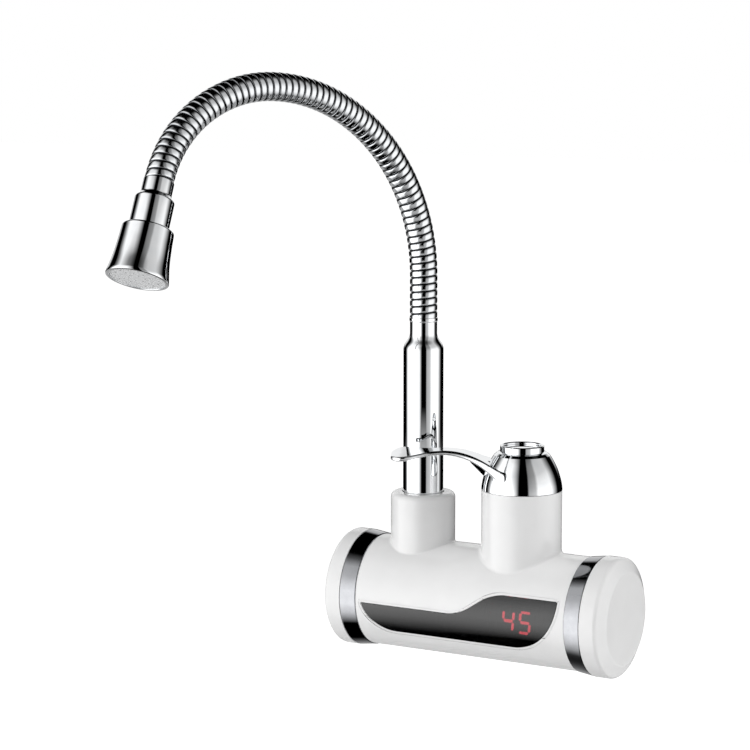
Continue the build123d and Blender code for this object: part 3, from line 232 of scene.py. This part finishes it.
whiteAbs = glossyPlastic("glossWhiteAbs", "#f2f2f2", "#efefef", 0.1)  # white, with soft bright bands
chrome = plating("brightChromePlate", "#eceef0", "#f4f5f6", 0.02, 0.05)  # black and white bands, sharp edged
darkNickel = plating("blackNickelPlate", "#949598", "#9d9ea1", 0.05, 0.09)  # a mirror half as bright
stripSteel = rolledStrip("rolledStainlessStrip")
silicone = grainedPlastic("extrudedSilicone", "#dcdbd4", "#cfcec6", 0.55, 0.6)  # milky and slightly waxy
windowSmoke = smokedClear("smokedPolycarbonate")
slotFinish = {
    "white_plastic": whiteAbs,
    "chrome": chrome,
    "stainless": workedMetal("pressedStainless", "#c9cacc", "#b4b5b8", 0.28),  # grey, half dull
    "smoked_plastic": windowSmoke,
    "black_plastic": grainedPlastic("mouldedBlackNylon", "#1b1b1c", "#101011", 0.5),  # satin black
    "lit_digits": lightGuide("litRedGuide", "#f0303c", "#ff5a68", 22.0),  # strong, to show through the window
    "board": grainedPlastic("lacqueredGlassEpoxy", "#1d6a35", "#15512a", 0.35, 1.2, 0.1),  # mottled green
    "green_plastic": grainedPlastic("mouldedGreenNylon", "#2f8f4a", "#277a3f", 0.5),  # satin green
    "brass": workedMetal("turnedBrass", "#c9a24f", "#a98539", 0.3),  # yellow, with tool marks
    "ceramic": glossyPlastic("lappedAlumina", "#ece7da", "#e2dccd", 0.25),  # ground flat, warm white
    "rubber": grainedPlastic("mouldedSealRubber", "#171717", "#0e0e0e", 0.7, 0.2),  # matt black
    "silicone": silicone,
    "magnet": workedMetal("sinteredFerrite", "#4a4a4d", "#2f2f31", 0.5, 0.15),  # dull dark grey
    "aluminium": workedMetal("extrudedAluminium", "#c5c7ca", "#aeb0b3", 0.35, 0.5),  # pale and half dull
    "grey_plastic": grainedPlastic("mouldedGreyNylon", "#e2e3e4", "#dcddde", 0.45, 0.5, 0.015),  # pale satin
}
nodeFinish = {"left_trim_ring": darkNickel, "right_trim_ring": darkNickel}
print("materials made")

for part in frame["record"]["subparts"]:
    cadNode = frame["nodes"][part["node"]]
    for place in range(len(cadNode.data.materials)):
        cadNode.data.materials[place] = nodeFinish.get(part["node"], slotFinish[part["material_slot"]])
print("nodes dressed")


def finishPiece(name, bm, material, nodes, sharp=35.0, body=None):
    # makes the object, hides the CAD nodes that it stands for, and hangs it on its body
    mesh = bpy.data.meshes.new(name)
    bm.to_mesh(mesh)
    bm.free()
    mesh.shade_smooth()
    mesh.set_sharp_from_angle(angle=math.radians(sharp))
    mesh.materials.append(material)
    piece = bpy.data.objects.new(name, mesh)
    bpy.context.collection.objects.link(piece)
    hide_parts(*nodes)
    if body:
        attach(piece, body)
    return piece


def radiusCurve(start, end, leads, steps):
    # a smooth change of radius between two (radius, level) points, in line with the axis at both
    start, end, rise = Vector((*start, 0)), Vector((*end, 0)), Vector((0, 1, 0))
    run = interpolate_bezier(start, start + rise * leads[0], end - rise * leads[1], end, steps)
    return [(point.x, point.y) for point in run]


def curveThrough(points, steps):
    # a smooth run of points through the given ones
    run = []
    ends = [Vector((*point, 0)) for point in (points[0], *points, points[-1])]
    for before, near, far, after in zip(ends, ends[1:], ends[2:], ends[3:]):
        third = (far - near).length / 3
        lead, trail = (far - before).normalized() * third, (after - near).normalized() * third
        stretch = interpolate_bezier(near, near + lead, far - trail, far, steps)
        run += [(point.x, point.y) for point in stretch[:-1]]
    return run + [points[-1]]


def lathe(profile, placing, steps=160):
    # a profile of (radius, level, corner rounding) in mm, turned round the placing's own Z
    bm = bmesh.new()
    verts = [bm.verts.new((point[0] * mm, 0, point[1] * mm)) for point in profile]
    for one, two in zip(verts, verts[1:] + verts[:1]):
        bm.edges.new((one, two))
    corners = {vert: point[2] for vert, point in zip(verts, profile) if len(point) > 2 and point[2] > 0}
    for rounding in sorted(set(corners.values()), reverse=True):
        chosen = [vert for vert, size in corners.items() if size == rounding]
        bmesh.ops.bevel(bm, geom=chosen, offset=rounding * mm, offset_type="OFFSET", affect="VERTICES",
                        segments=5, profile=0.5, material=-1)
    bmesh.ops.spin(bm, geom=bm.verts[:] + bm.edges[:], cent=(0, 0, 0), axis=(0, 0, 1), dvec=(0, 0, 0),
                   angle=2 * math.pi, steps=steps, use_merge=True, use_normal_flip=False, use_duplicate=False)
    bmesh.ops.remove_doubles(bm, verts=bm.verts[:], dist=1e-6)
    bmesh.ops.recalc_face_normals(bm, faces=bm.faces[:])
    bmesh.ops.transform(bm, matrix=placing, verts=bm.verts[:])
    return bm


# display rim and window, mm across the front from the handle's axis and upwards from the barrel's axis
windowSizes = {"left": -62.35, "right": 7.25, "bottom": -16.2, "cornerRound": 27.6, "tailRound": 19.7,
               "tailTurn": 75.0, "step": -12.5, "slope": 34.0, "stepRound": 23.4, "tipRound": 0.6,
               "gap": 0.08, "rimWidth": 1.5, "rimRadius": 30.3, "rimSeam": 0.45, "windowRadius": 30.2,
               "windowSeam": 0.12, "seamAngle": 52.0, "thickness": 2.1, "strip": 0.8}


def windowOutline():
    # the flat outline seen from the front, sharp at first, then each corner rounded as (x, z, offset, steps)
    window = windowSizes
    turn, slope = math.radians(window["tailTurn"]), math.radians(window["slope"])
    lead = window["tailRound"] * math.tan(turn / 2)
    bend = window["stepRound"] * math.tan(slope / 2)
    tipX = window["left"] - window["tailRound"] * math.sin(turn)
    tipZ = window["bottom"] + window["tailRound"] * (1 - math.cos(turn))
    right, top = window["right"] + window["cornerRound"], window["bottom"] + window["cornerRound"]
    half = (top - tipZ) / math.tan(slope) / 2
    corners = ((window["left"] - lead, window["bottom"], lead, 24),
               (right, window["bottom"], window["cornerRound"], 32), (right, top, window["tipRound"], 4),
               (window["step"] + half, top, bend, 12), (window["step"] - half, tipZ, bend, 12),
               (tipX, tipZ, window["tipRound"], 4))
    bm = bmesh.new()
    verts = [bm.verts.new((corner[0] * mm, 0, corner[1] * mm)) for corner in corners]
    bm.faces.new(verts)
    for vert, corner in zip(verts, corners):
        bmesh.ops.bevel(bm, geom=[vert], offset=corner[2] * mm, offset_type="OFFSET", affect="VERTICES",
                        segments=corner[3], profile=0.5, material=-1)
    return bm


def wrapOnBarrel(bm, radius, seam):
    # cut into level strips, laid round the barrel, thickened inwards, and its front edges rounded
    low, high = (pick(vert.co.z for vert in bm.verts) for pick in (min, max))
    strip = windowSizes["strip"] * mm
    for step in range(1, int((high - low) / strip)):
        bmesh.ops.bisect_plane(bm, geom=bm.verts[:] + bm.edges[:] + bm.faces[:], dist=1e-7,
                               plane_co=(0, 0, low + step * strip), plane_no=(0, 0, 1))
    made = bmesh.ops.extrude_face_region(bm, geom=bm.faces[:])["geom"]
    behind = {item for item in made if isinstance(item, bmesh.types.BMVert)}
    for vert in bm.verts:
        reach = (radius - (windowSizes["thickness"] if vert in behind else 0)) * mm
        vert.co.y = -axisOut * mm - math.sqrt(reach ** 2 - vert.co.z ** 2)
    bmesh.ops.recalc_face_normals(bm, faces=bm.faces[:])
    seamAngle = math.radians(windowSizes["seamAngle"])
    rims = [edge for edge in bm.edges
            if not behind & set(edge.verts) and edge.calc_face_angle(0) > seamAngle]
    bmesh.ops.bevel(bm, geom=rims, offset=seam * mm, offset_type="OFFSET", affect="EDGES",
                    segments=3, profile=0.5, material=-1)
    return bm


# the outline grows by the gap and then by the rim, and only the rim's faces stay
bm = windowOutline()
middle = bm.faces[:]
rings = [bmesh.ops.inset_region(bm, faces=middle, thickness=-grow * mm, use_boundary=True,
                                use_even_offset=True)["faces"]
         for grow in (windowSizes["gap"], windowSizes["rimWidth"])]
bmesh.ops.delete(bm, geom=middle + rings[0], context="FACES")
bm = wrapOnBarrel(bm, windowSizes["rimRadius"], windowSizes["rimSeam"])
finishPiece("displayRim", bm, whiteAbs, ["display_bezel"], body="body")
bm = wrapOnBarrel(windowOutline(), windowSizes["windowRadius"], windowSizes["windowSeam"])
finishPiece("displayWindow", bm, windowSmoke, ["display_window"], body="body")
print("display front made")

# spout tube and sleeve, mm from the barrel's axis
spoutSizes = {"tubeRadius": 10.9, "tubeBore": 6.5, "tubeBottom": 36.0, "tubeTop": 78.0, "tubeEdge": 0.4,
              "tubeTopEdge": 0.5, "spigotRadius": 8.5, "spigotTop": 103.5, "sleeveRadius": 10.8,
              "sleeveBottom": 79.0, "spigotGap": 0.05, "socketTop": 106.0, "footRound": 2.0,
              "shoulderBottom": 134.0, "shoulderTop": 143.0, "shoulderLeads": (4.2, 3.8),
              "shoulderSteps": 20, "throatRise": 3.0, "neckRadius": 7.3, "lipRadius": 7.6,
              "lipDepth": 1.8, "lipStep": 0.4, "lipEdge": 0.15, "lipRound": 0.35, "neckTop": 151.5,
              "hoseBore": 4.5}

spout = spoutSizes
spoutPlace = Matrix.Translation(Vector((spoutX, -axisOut, 0)) * mm)
shoulder = radiusCurve((spout["sleeveRadius"], spout["shoulderBottom"]),
                       (spout["neckRadius"], spout["shoulderTop"]),
                       spout["shoulderLeads"], spout["shoulderSteps"])
lipBottom = spout["neckTop"] - spout["lipDepth"]
socketRadius = spout["spigotRadius"] + spout["spigotGap"]
sleeveProfile = [(spout["sleeveRadius"], spout["sleeveBottom"], spout["footRound"]), *shoulder,
                 (spout["neckRadius"], lipBottom - spout["lipStep"], spout["lipEdge"]),
                 (spout["lipRadius"], lipBottom, spout["lipEdge"]),
                 (spout["lipRadius"], spout["neckTop"], spout["lipRound"]),
                 (spout["hoseBore"], spout["neckTop"]), (spout["hoseBore"], spout["shoulderBottom"]),
                 (spout["tubeBore"], spout["shoulderBottom"] - spout["throatRise"]),
                 (spout["tubeBore"], spout["socketTop"]), (socketRadius, spout["socketTop"]),
                 (socketRadius, spout["sleeveBottom"])]
finishPiece("spoutSleeve", lathe(sleeveProfile, spoutPlace), chrome, ["spout_sleeve"], body="spout")

tubeProfile = [(spout["tubeRadius"], spout["tubeBottom"], spout["tubeEdge"]),
               (spout["tubeRadius"], spout["tubeTop"], spout["tubeTopEdge"]),
               (spout["spigotRadius"], spout["tubeTop"]),
               (spout["spigotRadius"], spout["spigotTop"], spout["tubeEdge"]),
               (spout["tubeBore"], spout["spigotTop"]), (spout["tubeBore"], spout["tubeBottom"])]
finishPiece("spoutTube", lathe(tubeProfile, spoutPlace), chrome, ["spout_tube"], body="spout")
print("spout column made")

# gooseneck: one strip of steel wound in a helix, along the route of the CAD hose, mm and degrees
hoseSizes = {"heading": 67.25, "start": 151.5, "legTop": 173.7, "bendRadii": (102.3, 74.6, 73.5),
             "bendTurns": (88.6, 26.0, 43.3), "bendRolls": (0.0, 0.0, 17.7), "turns": 69, "rearTurns": 38,
             "crownTurns": 17, "crest": 7.4, "groove": 6.75, "bore": 4.5, "around": 56}
# share of the pitch and share of the rise from the groove to the crest
bandProfile = ((0.0, 0.0), (0.06, 0.0), (0.1, 0.45), (0.16, 0.82), (0.26, 0.97), (0.42, 1.0), (0.6, 1.0),
               (0.76, 0.97), (0.88, 0.85), (0.95, 0.5), (1.0, 0.0))

hose = hoseSizes
legLength = hose["legTop"] - hose["start"]
bendLengths = [math.radians(turn) * radius for turn, radius in zip(hose["bendTurns"], hose["bendRadii"])]
hoseLength = legLength + sum(bendLengths)
pitch = hoseLength / hose["turns"]


def hosePlace(distance):
    # the frame across the hose, this far along it from the top of the sleeve, in mm
    heading = math.radians(hose["heading"])
    spot = Vector((spoutX, -axisOut, hose["start"] + min(distance, legLength)))
    inner, onward = Vector((-math.cos(heading), -math.sin(heading), 0)), Vector((0, 0, 1))
    left = distance - legLength
    bends = zip(hose["bendRadii"], hose["bendTurns"], hose["bendRolls"], bendLengths)
    for radius, turn, roll, length in bends:
        if left <= 0:
            break
        swing = min(left / radius, math.radians(turn))
        towards = Quaternion(onward, math.radians(roll)) @ inner
        bend = Quaternion(onward.cross(towards), swing)
        centre = spot + towards * radius
        spot = centre + bend @ (spot - centre)
        inner, onward = bend @ inner, bend @ onward
        left -= length
    if left > 0:
        spot = spot + onward * left
    return spot, inner, onward.cross(inner), onward


def bendAlong(bm):
    # lays a shape made straight along Z on the gooseneck's route
    for vert in bm.verts:
        spot, inner, side, onward = hosePlace(vert.co.z / mm)
        vert.co = spot * mm + inner * vert.co.x + side * vert.co.y
    return bm


def woundHose(firstTurn, lastTurn, spare=1.5):
    # wound straight along Z, cut square at both ends, lined with its bore, then bent along the route
    bm = bmesh.new()
    crest = bm.verts.layers.float.new("crestHeight")
    begin = (firstTurn - spare) * pitch * mm
    rise = hose["crest"] - hose["groove"]
    verts = []
    for share, up in bandProfile:
        verts.append(bm.verts.new(((hose["groove"] + rise * up) * mm, 0, begin + share * pitch * mm)))
        verts[-1][crest] = up
    edges = [bm.edges.new(pair) for pair in zip(verts, verts[1:])]
    turns = lastTurn - firstTurn + int(2 * spare)
    bmesh.ops.spin(bm, geom=verts + edges, cent=(0, 0, 0), axis=(0, 0, 1),
                   dvec=(0, 0, pitch * mm / hose["around"]), angle=2 * math.pi, steps=hose["around"],
                   use_merge=False, use_normal_flip=False, use_duplicate=False)
    oneTurn = bm.verts[:] + bm.edges[:] + bm.faces[:]
    for turn in range(1, turns):
        copied = bmesh.ops.duplicate(bm, geom=oneTurn)["geom"]
        raised = [item for item in copied if isinstance(item, bmesh.types.BMVert)]
        bmesh.ops.translate(bm, vec=(0, 0, turn * pitch * mm), verts=raised)
    bmesh.ops.remove_doubles(bm, verts=bm.verts[:], dist=1e-6)
    for level, facing in ((firstTurn * pitch * mm, -1), (lastTurn * pitch * mm, 1)):
        bmesh.ops.bisect_plane(bm, geom=bm.verts[:] + bm.edges[:] + bm.faces[:], dist=1e-7,
                               plane_co=(0, 0, level), plane_no=(0, 0, facing), clear_outer=True)
        rim = [edge for edge in bm.edges
               if edge.is_boundary and all(abs(vert.co.z - level) < 1e-6 for vert in edge.verts)]
        made = bmesh.ops.extrude_edge_only(bm, edges=rim)["geom"]
        for vert in made:
            if isinstance(vert, bmesh.types.BMVert):
                flat = Vector((vert.co.x, vert.co.y, 0)).normalized() * hose["bore"] * mm
                vert.co = Vector((flat.x, flat.y, level))
    inner = [edge for edge in bm.edges if edge.is_boundary]
    bmesh.ops.bridge_loops(bm, edges=inner)
    linings = [edge for edge in bm.edges if abs(edge.verts[0].co.z - edge.verts[1].co.z) > 2 * pitch * mm]
    bmesh.ops.subdivide_edges(bm, edges=linings, cuts=2 * (lastTurn - firstTurn), use_grid_fill=True)
    bmesh.ops.recalc_face_normals(bm, faces=bm.faces[:])
    return bendAlong(bm)


cutOne, cutTwo, lastTurn = hose["rearTurns"], hose["rearTurns"] + hose["crownTurns"], hose["turns"]
finishPiece("hoseRear", woundHose(0, cutOne), stripSteel, ["hose_rear"], 60, "spout")
hoseCrown = finishPiece("hoseCrown", woundHose(cutOne, cutTwo), stripSteel, ["hose_crown"], 60)
finishPiece("hoseFront", woundHose(cutTwo, lastTurn), stripSteel, ["hose_front"], 60, "head")
flexStart, flexEnd = hosePlace(cutOne * pitch)[0] * mm, hosePlace(cutTwo * pitch)[0] * mm
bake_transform(hoseCrown)

# silicone tube inside it, from the barb in the sleeve to the barb in the spray head
linerSizes = {"radius": 4.0, "bore": 3.0, "bottom": -43.5, "pastEnd": 12.0, "around": 24, "cuts": 130}

low, high = linerSizes["bottom"], hoseLength + linerSizes["pastEnd"]
bm = lathe([(linerSizes["bore"], low), (linerSizes["radius"], low), (linerSizes["radius"], high),
            (linerSizes["bore"], high)], Matrix.Identity(4), linerSizes["around"])
walls = [edge for edge in bm.edges if abs(edge.verts[0].co.z - edge.verts[1].co.z) > mm]
bmesh.ops.subdivide_edges(bm, edges=walls, cuts=linerSizes["cuts"], use_grid_fill=True)
innerHose = finishPiece("innerHose", bendAlong(bm), silicone, ["inner_hose"], 60)
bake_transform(innerHose)
print("gooseneck made")

# spray head, mm along its axis from the end of the hose
headSizes = {"neck": 7.7, "neckEdge": 0.3, "neckEnd": 7.0, "shoulderEnd": 10.6, "shoulderLeads": (1.9, 1.9),
             "shoulderSteps": 14, "ferrule": 9.9, "ferruleEnd": 42.0, "ferruleEdge": 0.3,
             "ferruleBore": 6.6, "seat": 14.0, "hoseHole": 4.1, "bellStart": 25.0, "bellBore": 10.0,
             "bellLip": 12.95, "bellEdge": 1.15, "flareStart": 26.2, "flare": ((13.35, 33.5), (14.2, 42.5)),
             "flareSteps": 8, "bellMouth": 15.74, "mouthEdge": 0.6, "mouthInset": 0.15, "bellEnd": 51.7,
             "face": 13.9, "faceGap": 0.05, "faceEdge": 0.2, "faceDepth": 3.1, "chamber": 11.3,
             "chamberTop": 46.0}

head = headSizes
spot, inner, side, onward = hosePlace(hoseLength)
headPlace = Matrix.Translation(spot * mm) @ Matrix((inner, side, onward)).transposed().to_4x4()

shoulder = radiusCurve((head["neck"], head["neckEnd"]), (head["ferrule"], head["shoulderEnd"]),
                       head["shoulderLeads"], head["shoulderSteps"])
ferruleProfile = [(head["hoseHole"], 0), (head["neck"], 0, head["neckEdge"]), *shoulder,
                  (head["ferrule"], head["ferruleEnd"], head["ferruleEdge"]),
                  (head["ferruleBore"], head["ferruleEnd"]), (head["ferruleBore"], head["seat"]),
                  (head["hoseHole"], head["seat"])]
finishPiece("headFerrule", lathe(ferruleProfile, headPlace), chrome, ["head_ferrule"], body="head")

faceHole, faceBack = head["face"] + head["faceGap"], head["bellEnd"] - head["faceDepth"]
flare = curveThrough(((head["bellLip"], head["flareStart"]), *head["flare"],
                      (head["bellMouth"], head["bellEnd"] - head["mouthEdge"])), head["flareSteps"])
bellProfile = [(head["bellBore"], head["bellStart"]),
               (head["bellLip"], head["bellStart"], head["bellEdge"]), *flare,
               (head["bellMouth"] - head["mouthInset"], head["bellEnd"] - head["mouthInset"]),
               (head["bellMouth"] - head["mouthEdge"], head["bellEnd"]),
               (faceHole, head["bellEnd"], head["faceEdge"]), (faceHole, faceBack),
               (head["chamber"], faceBack), (head["chamber"], head["chamberTop"]),
               (head["bellBore"], head["chamberTop"])]
finishPiece("sprayBell", lathe(bellProfile, headPlace), chrome, ["spray_bell"], body="spray_bell")
print("spray head made")

# soft lamps at the sides, above and below, placed round the camera's target
lampSet = {
    "left": {"azimuth": -35, "elevation": 6, "distance": 1.9, "width": 1.2, "height": 1.5, "watts": 20.0},
    "right": {"azimuth": 100, "elevation": 6, "distance": 1.9, "width": 0.8, "height": 1.4, "watts": 15.0},
    "top": {"azimuth": 10, "elevation": 72, "distance": 1.8, "width": 1.2, "height": 1.2, "watts": 8.0},
    "below": {"azimuth": 20, "elevation": -52, "distance": 1.8, "width": 1.2, "height": 1.2, "watts": 8.0},
}

for name, lamp in lampSet.items():
    data = bpy.data.lights.new(name + "Lamp", "AREA")
    data.shape = "RECTANGLE"
    data.size, data.size_y, data.energy = lamp["width"], lamp["height"], lamp["watts"]
    holder = bpy.data.objects.new(name + "Lamp", data)
    aim = direction(lamp["azimuth"], lamp["elevation"])
    holder.location = Vector(cameraView["target"]) + aim * lamp["distance"]
    holder.rotation_mode = "QUATERNION"
    holder.rotation_quaternion = (-aim).to_track_quat("-Z", "Y")
    holder.visible_glossy = False
    holder.visible_camera = False
    bpy.context.collection.objects.link(holder)

# white to the eye and in what is mirrored or seen through, and a dim fill for everything else
worldLight = {"fill": 0.35, "background": 1.0}

world = bpy.data.worlds.new("studioWorld")
world.use_nodes = True
bpy.context.scene.world = world
tree = world.node_tree
tree.nodes.clear()
path = addNode(tree, "ShaderNodeLightPath")
seen = addNode(tree, "ShaderNodeMath", {"operation": "MAXIMUM"},
               {0: path.outputs["Is Camera Ray"], 1: path.outputs["Is Glossy Ray"]})
seen = addNode(tree, "ShaderNodeMath", {"operation": "MAXIMUM"},
               {0: seen.outputs[0], 1: path.outputs["Is Transmission Ray"]})
fill, white = (addNode(tree, "ShaderNodeBackground", {"Color": linear("#ffffff"), "Strength": level})
               for level in (worldLight["fill"], worldLight["background"]))
mixed = addNode(tree, "ShaderNodeMixShader",
                links={"Fac": seen.outputs[0], 1: fill.outputs[0], 2: white.outputs[0]})
addNode(tree, "ShaderNodeOutputWorld", links={"Surface": mixed.outputs[0]})


def stagePiece(name, bm, material):
    # a piece of the studio, which isn't part of the tap
    mesh = bpy.data.meshes.new(name)
    bm.to_mesh(mesh)
    bm.free()
    mesh.materials.append(material)
    piece = bpy.data.objects.new(name, mesh)
    bpy.context.collection.objects.link(piece)
    return piece


# a tent of dark and bright cloth that only mirrored rays see, which gives the chrome its bands
# the stops are angles in degrees and brightness: round the tap from the camera's side, and up from level
tentSizes = {
    "radius": 8.0,
    "strength": 2.5,
    "around": [(-180, 0.0), (-118, 0.0), (-108, 0.22), (-92, 1.0), (-42, 1.0), (-26, 0.5), (-12, 0.0),
               (14, 0.0), (18, 0.18), (38, 0.26), (46, 0.55), (88, 0.55), (104, 0.18), (116, 0.0),
               (180, 0.0)],
    "height": [(-90, 0.0), (-60, 0.0), (-53, 0.23), (-40, 0.68), (-24, 1.0), (0, 1.0), (28, 0.5), (46, 0.42),
               (60, 0.08), (68, 0.0), (90, 0.0)],
    # a table below, seen all round
    "low": [(-90, 0.22), (-20, 0.22), (-13, 0.0), (90, 0.0)],
    # a wall behind, seen only in what faces up, such as the top of the lever
    "wallAround": [(-180, 0.38), (-155, 0.38), (-140, 0.0), (140, 0.0), (155, 0.38), (180, 0.38)],
    "wallHeight": [(-90, 0.0), (-2, 0.0), (5, 1.0), (26, 1.0), (34, 0.0), (90, 0.0)],
}

material = bpy.data.materials.new("tentCloth")
material.use_nodes = True
tree = material.node_tree
tree.nodes.clear()
coords = addNode(tree, "ShaderNodeTexCoord").outputs["Object"]
placed = addNode(tree, "ShaderNodeMapping",
                 {"vector_type": "POINT", "Location": -Vector(cameraView["target"])}, {"Vector": coords})
turned = addNode(tree, "ShaderNodeMapping",
                 {"vector_type": "POINT", "Rotation": (0, 0, -math.radians(cameraView["azimuth"]))},
                 {"Vector": placed.outputs["Vector"]})
unit = addNode(tree, "ShaderNodeVectorMath", {"operation": "NORMALIZE"}, {0: turned.outputs["Vector"]})
parts = addNode(tree, "ShaderNodeSeparateXYZ", links={"Vector": unit.outputs["Vector"]})
minusY = addNode(tree, "ShaderNodeMath", {"operation": "MULTIPLY", 1: -1.0}, {0: parts.outputs["Y"]})
compass = addNode(tree, "ShaderNodeMath", {"operation": "ARCTAN2"},
                  {0: parts.outputs["X"], 1: minusY.outputs[0]})
climb = addNode(tree, "ShaderNodeMath", {"operation": "ARCSINE"}, {0: parts.outputs["Z"]})
tones = {}
for name, angle, limit in (("around", compass, 180), ("height", climb, 90), ("low", climb, 90),
                           ("wallAround", compass, 180), ("wallHeight", climb, 90)):
    span = {"From Min": -math.radians(limit), "From Max": math.radians(limit)}
    share = addNode(tree, "ShaderNodeMapRange", span, {"Value": angle.outputs[0]})
    stops = [((degrees + limit) / (2 * limit), tone) for degrees, tone in tentSizes[name]]
    shade = addNode(tree, "ShaderNodeValToRGB", {"stops": stops}, {"Fac": share.outputs["Result"]})
    tones[name] = shade.outputs["Color"]
sides = addNode(tree, "ShaderNodeMath", {"operation": "MAXIMUM"}, {0: tones["around"], 1: tones["low"]})
cloth = addNode(tree, "ShaderNodeMath", {"operation": "MULTIPLY"}, {0: sides.outputs[0], 1: tones["height"]})
wall = addNode(tree, "ShaderNodeMath", {"operation": "MULTIPLY"},
               {0: tones["wallAround"], 1: tones["wallHeight"]})
both = addNode(tree, "ShaderNodeMath", {"operation": "MAXIMUM"}, {0: cloth.outputs[0], 1: wall.outputs[0]})
strength = addNode(tree, "ShaderNodeMath", {"operation": "MULTIPLY", 1: tentSizes["strength"]},
                   {0: both.outputs[0]})
glow = addNode(tree, "ShaderNodeEmission", {"Color": linear("#ffffff")}, {"Strength": strength.outputs[0]})
addNode(tree, "ShaderNodeOutputMaterial", links={"Surface": glow.outputs[0]})

bm = bmesh.new()
bmesh.ops.create_uvsphere(bm, u_segments=64, v_segments=32, radius=tentSizes["radius"])
bmesh.ops.transform(bm, matrix=Matrix.Translation(Vector(cameraView["target"])), verts=bm.verts[:])
tent = stagePiece("reflectionTent", bm, material)
tent.data.shade_smooth()
tent.visible_camera = False
tent.visible_diffuse = False
tent.visible_transmission = False
tent.visible_shadow = False
tent.visible_volume_scatter = False

# pale floor, far below because the tap hangs on a wall
floorSizes = {"half": 12.0, "level": -0.45, "mottlesPerMetre": 6.0, "cameraGlow": 0.75}

material = bpy.data.materials.new("paleStudioFloor")
material.use_nodes = True
tree = material.node_tree
tree.nodes.clear()
coords = addNode(tree, "ShaderNodeTexCoord").outputs["Object"]
mottle = addNode(tree, "ShaderNodeTexNoise", {"Scale": floorSizes["mottlesPerMetre"], "Detail": 2.0},
                 {"Vector": coords})
stops = [(0.3, linear("#f2f2f2")), (0.7, linear("#f6f6f6"))]
paper = addNode(tree, "ShaderNodeValToRGB", {"stops": stops}, {"Fac": mottle.outputs["Fac"]})
matt = addNode(tree, "ShaderNodeBsdfDiffuse", links={"Color": paper.outputs["Color"]})
path = addNode(tree, "ShaderNodeLightPath")
shown = addNode(tree, "ShaderNodeMath", {"operation": "MULTIPLY", 1: floorSizes["cameraGlow"]},
                {0: path.outputs["Is Camera Ray"]})
glow = addNode(tree, "ShaderNodeEmission", {"Color": linear("#ffffff")}, {"Strength": shown.outputs[0]})
both = addNode(tree, "ShaderNodeAddShader", links={0: matt.outputs[0], 1: glow.outputs[0]})
addNode(tree, "ShaderNodeOutputMaterial", links={"Surface": both.outputs[0]})

bm = bmesh.new()
bmesh.ops.create_grid(bm, x_segments=1, y_segments=1, size=floorSizes["half"])
bmesh.ops.transform(bm, matrix=Matrix.Translation((0, 0, floorSizes["level"])), verts=bm.verts[:])
floor = stagePiece("floor", bm, material)
floor.visible_glossy = False
print("studio made")

bpy.context.scene.view_settings.view_transform = "Standard"
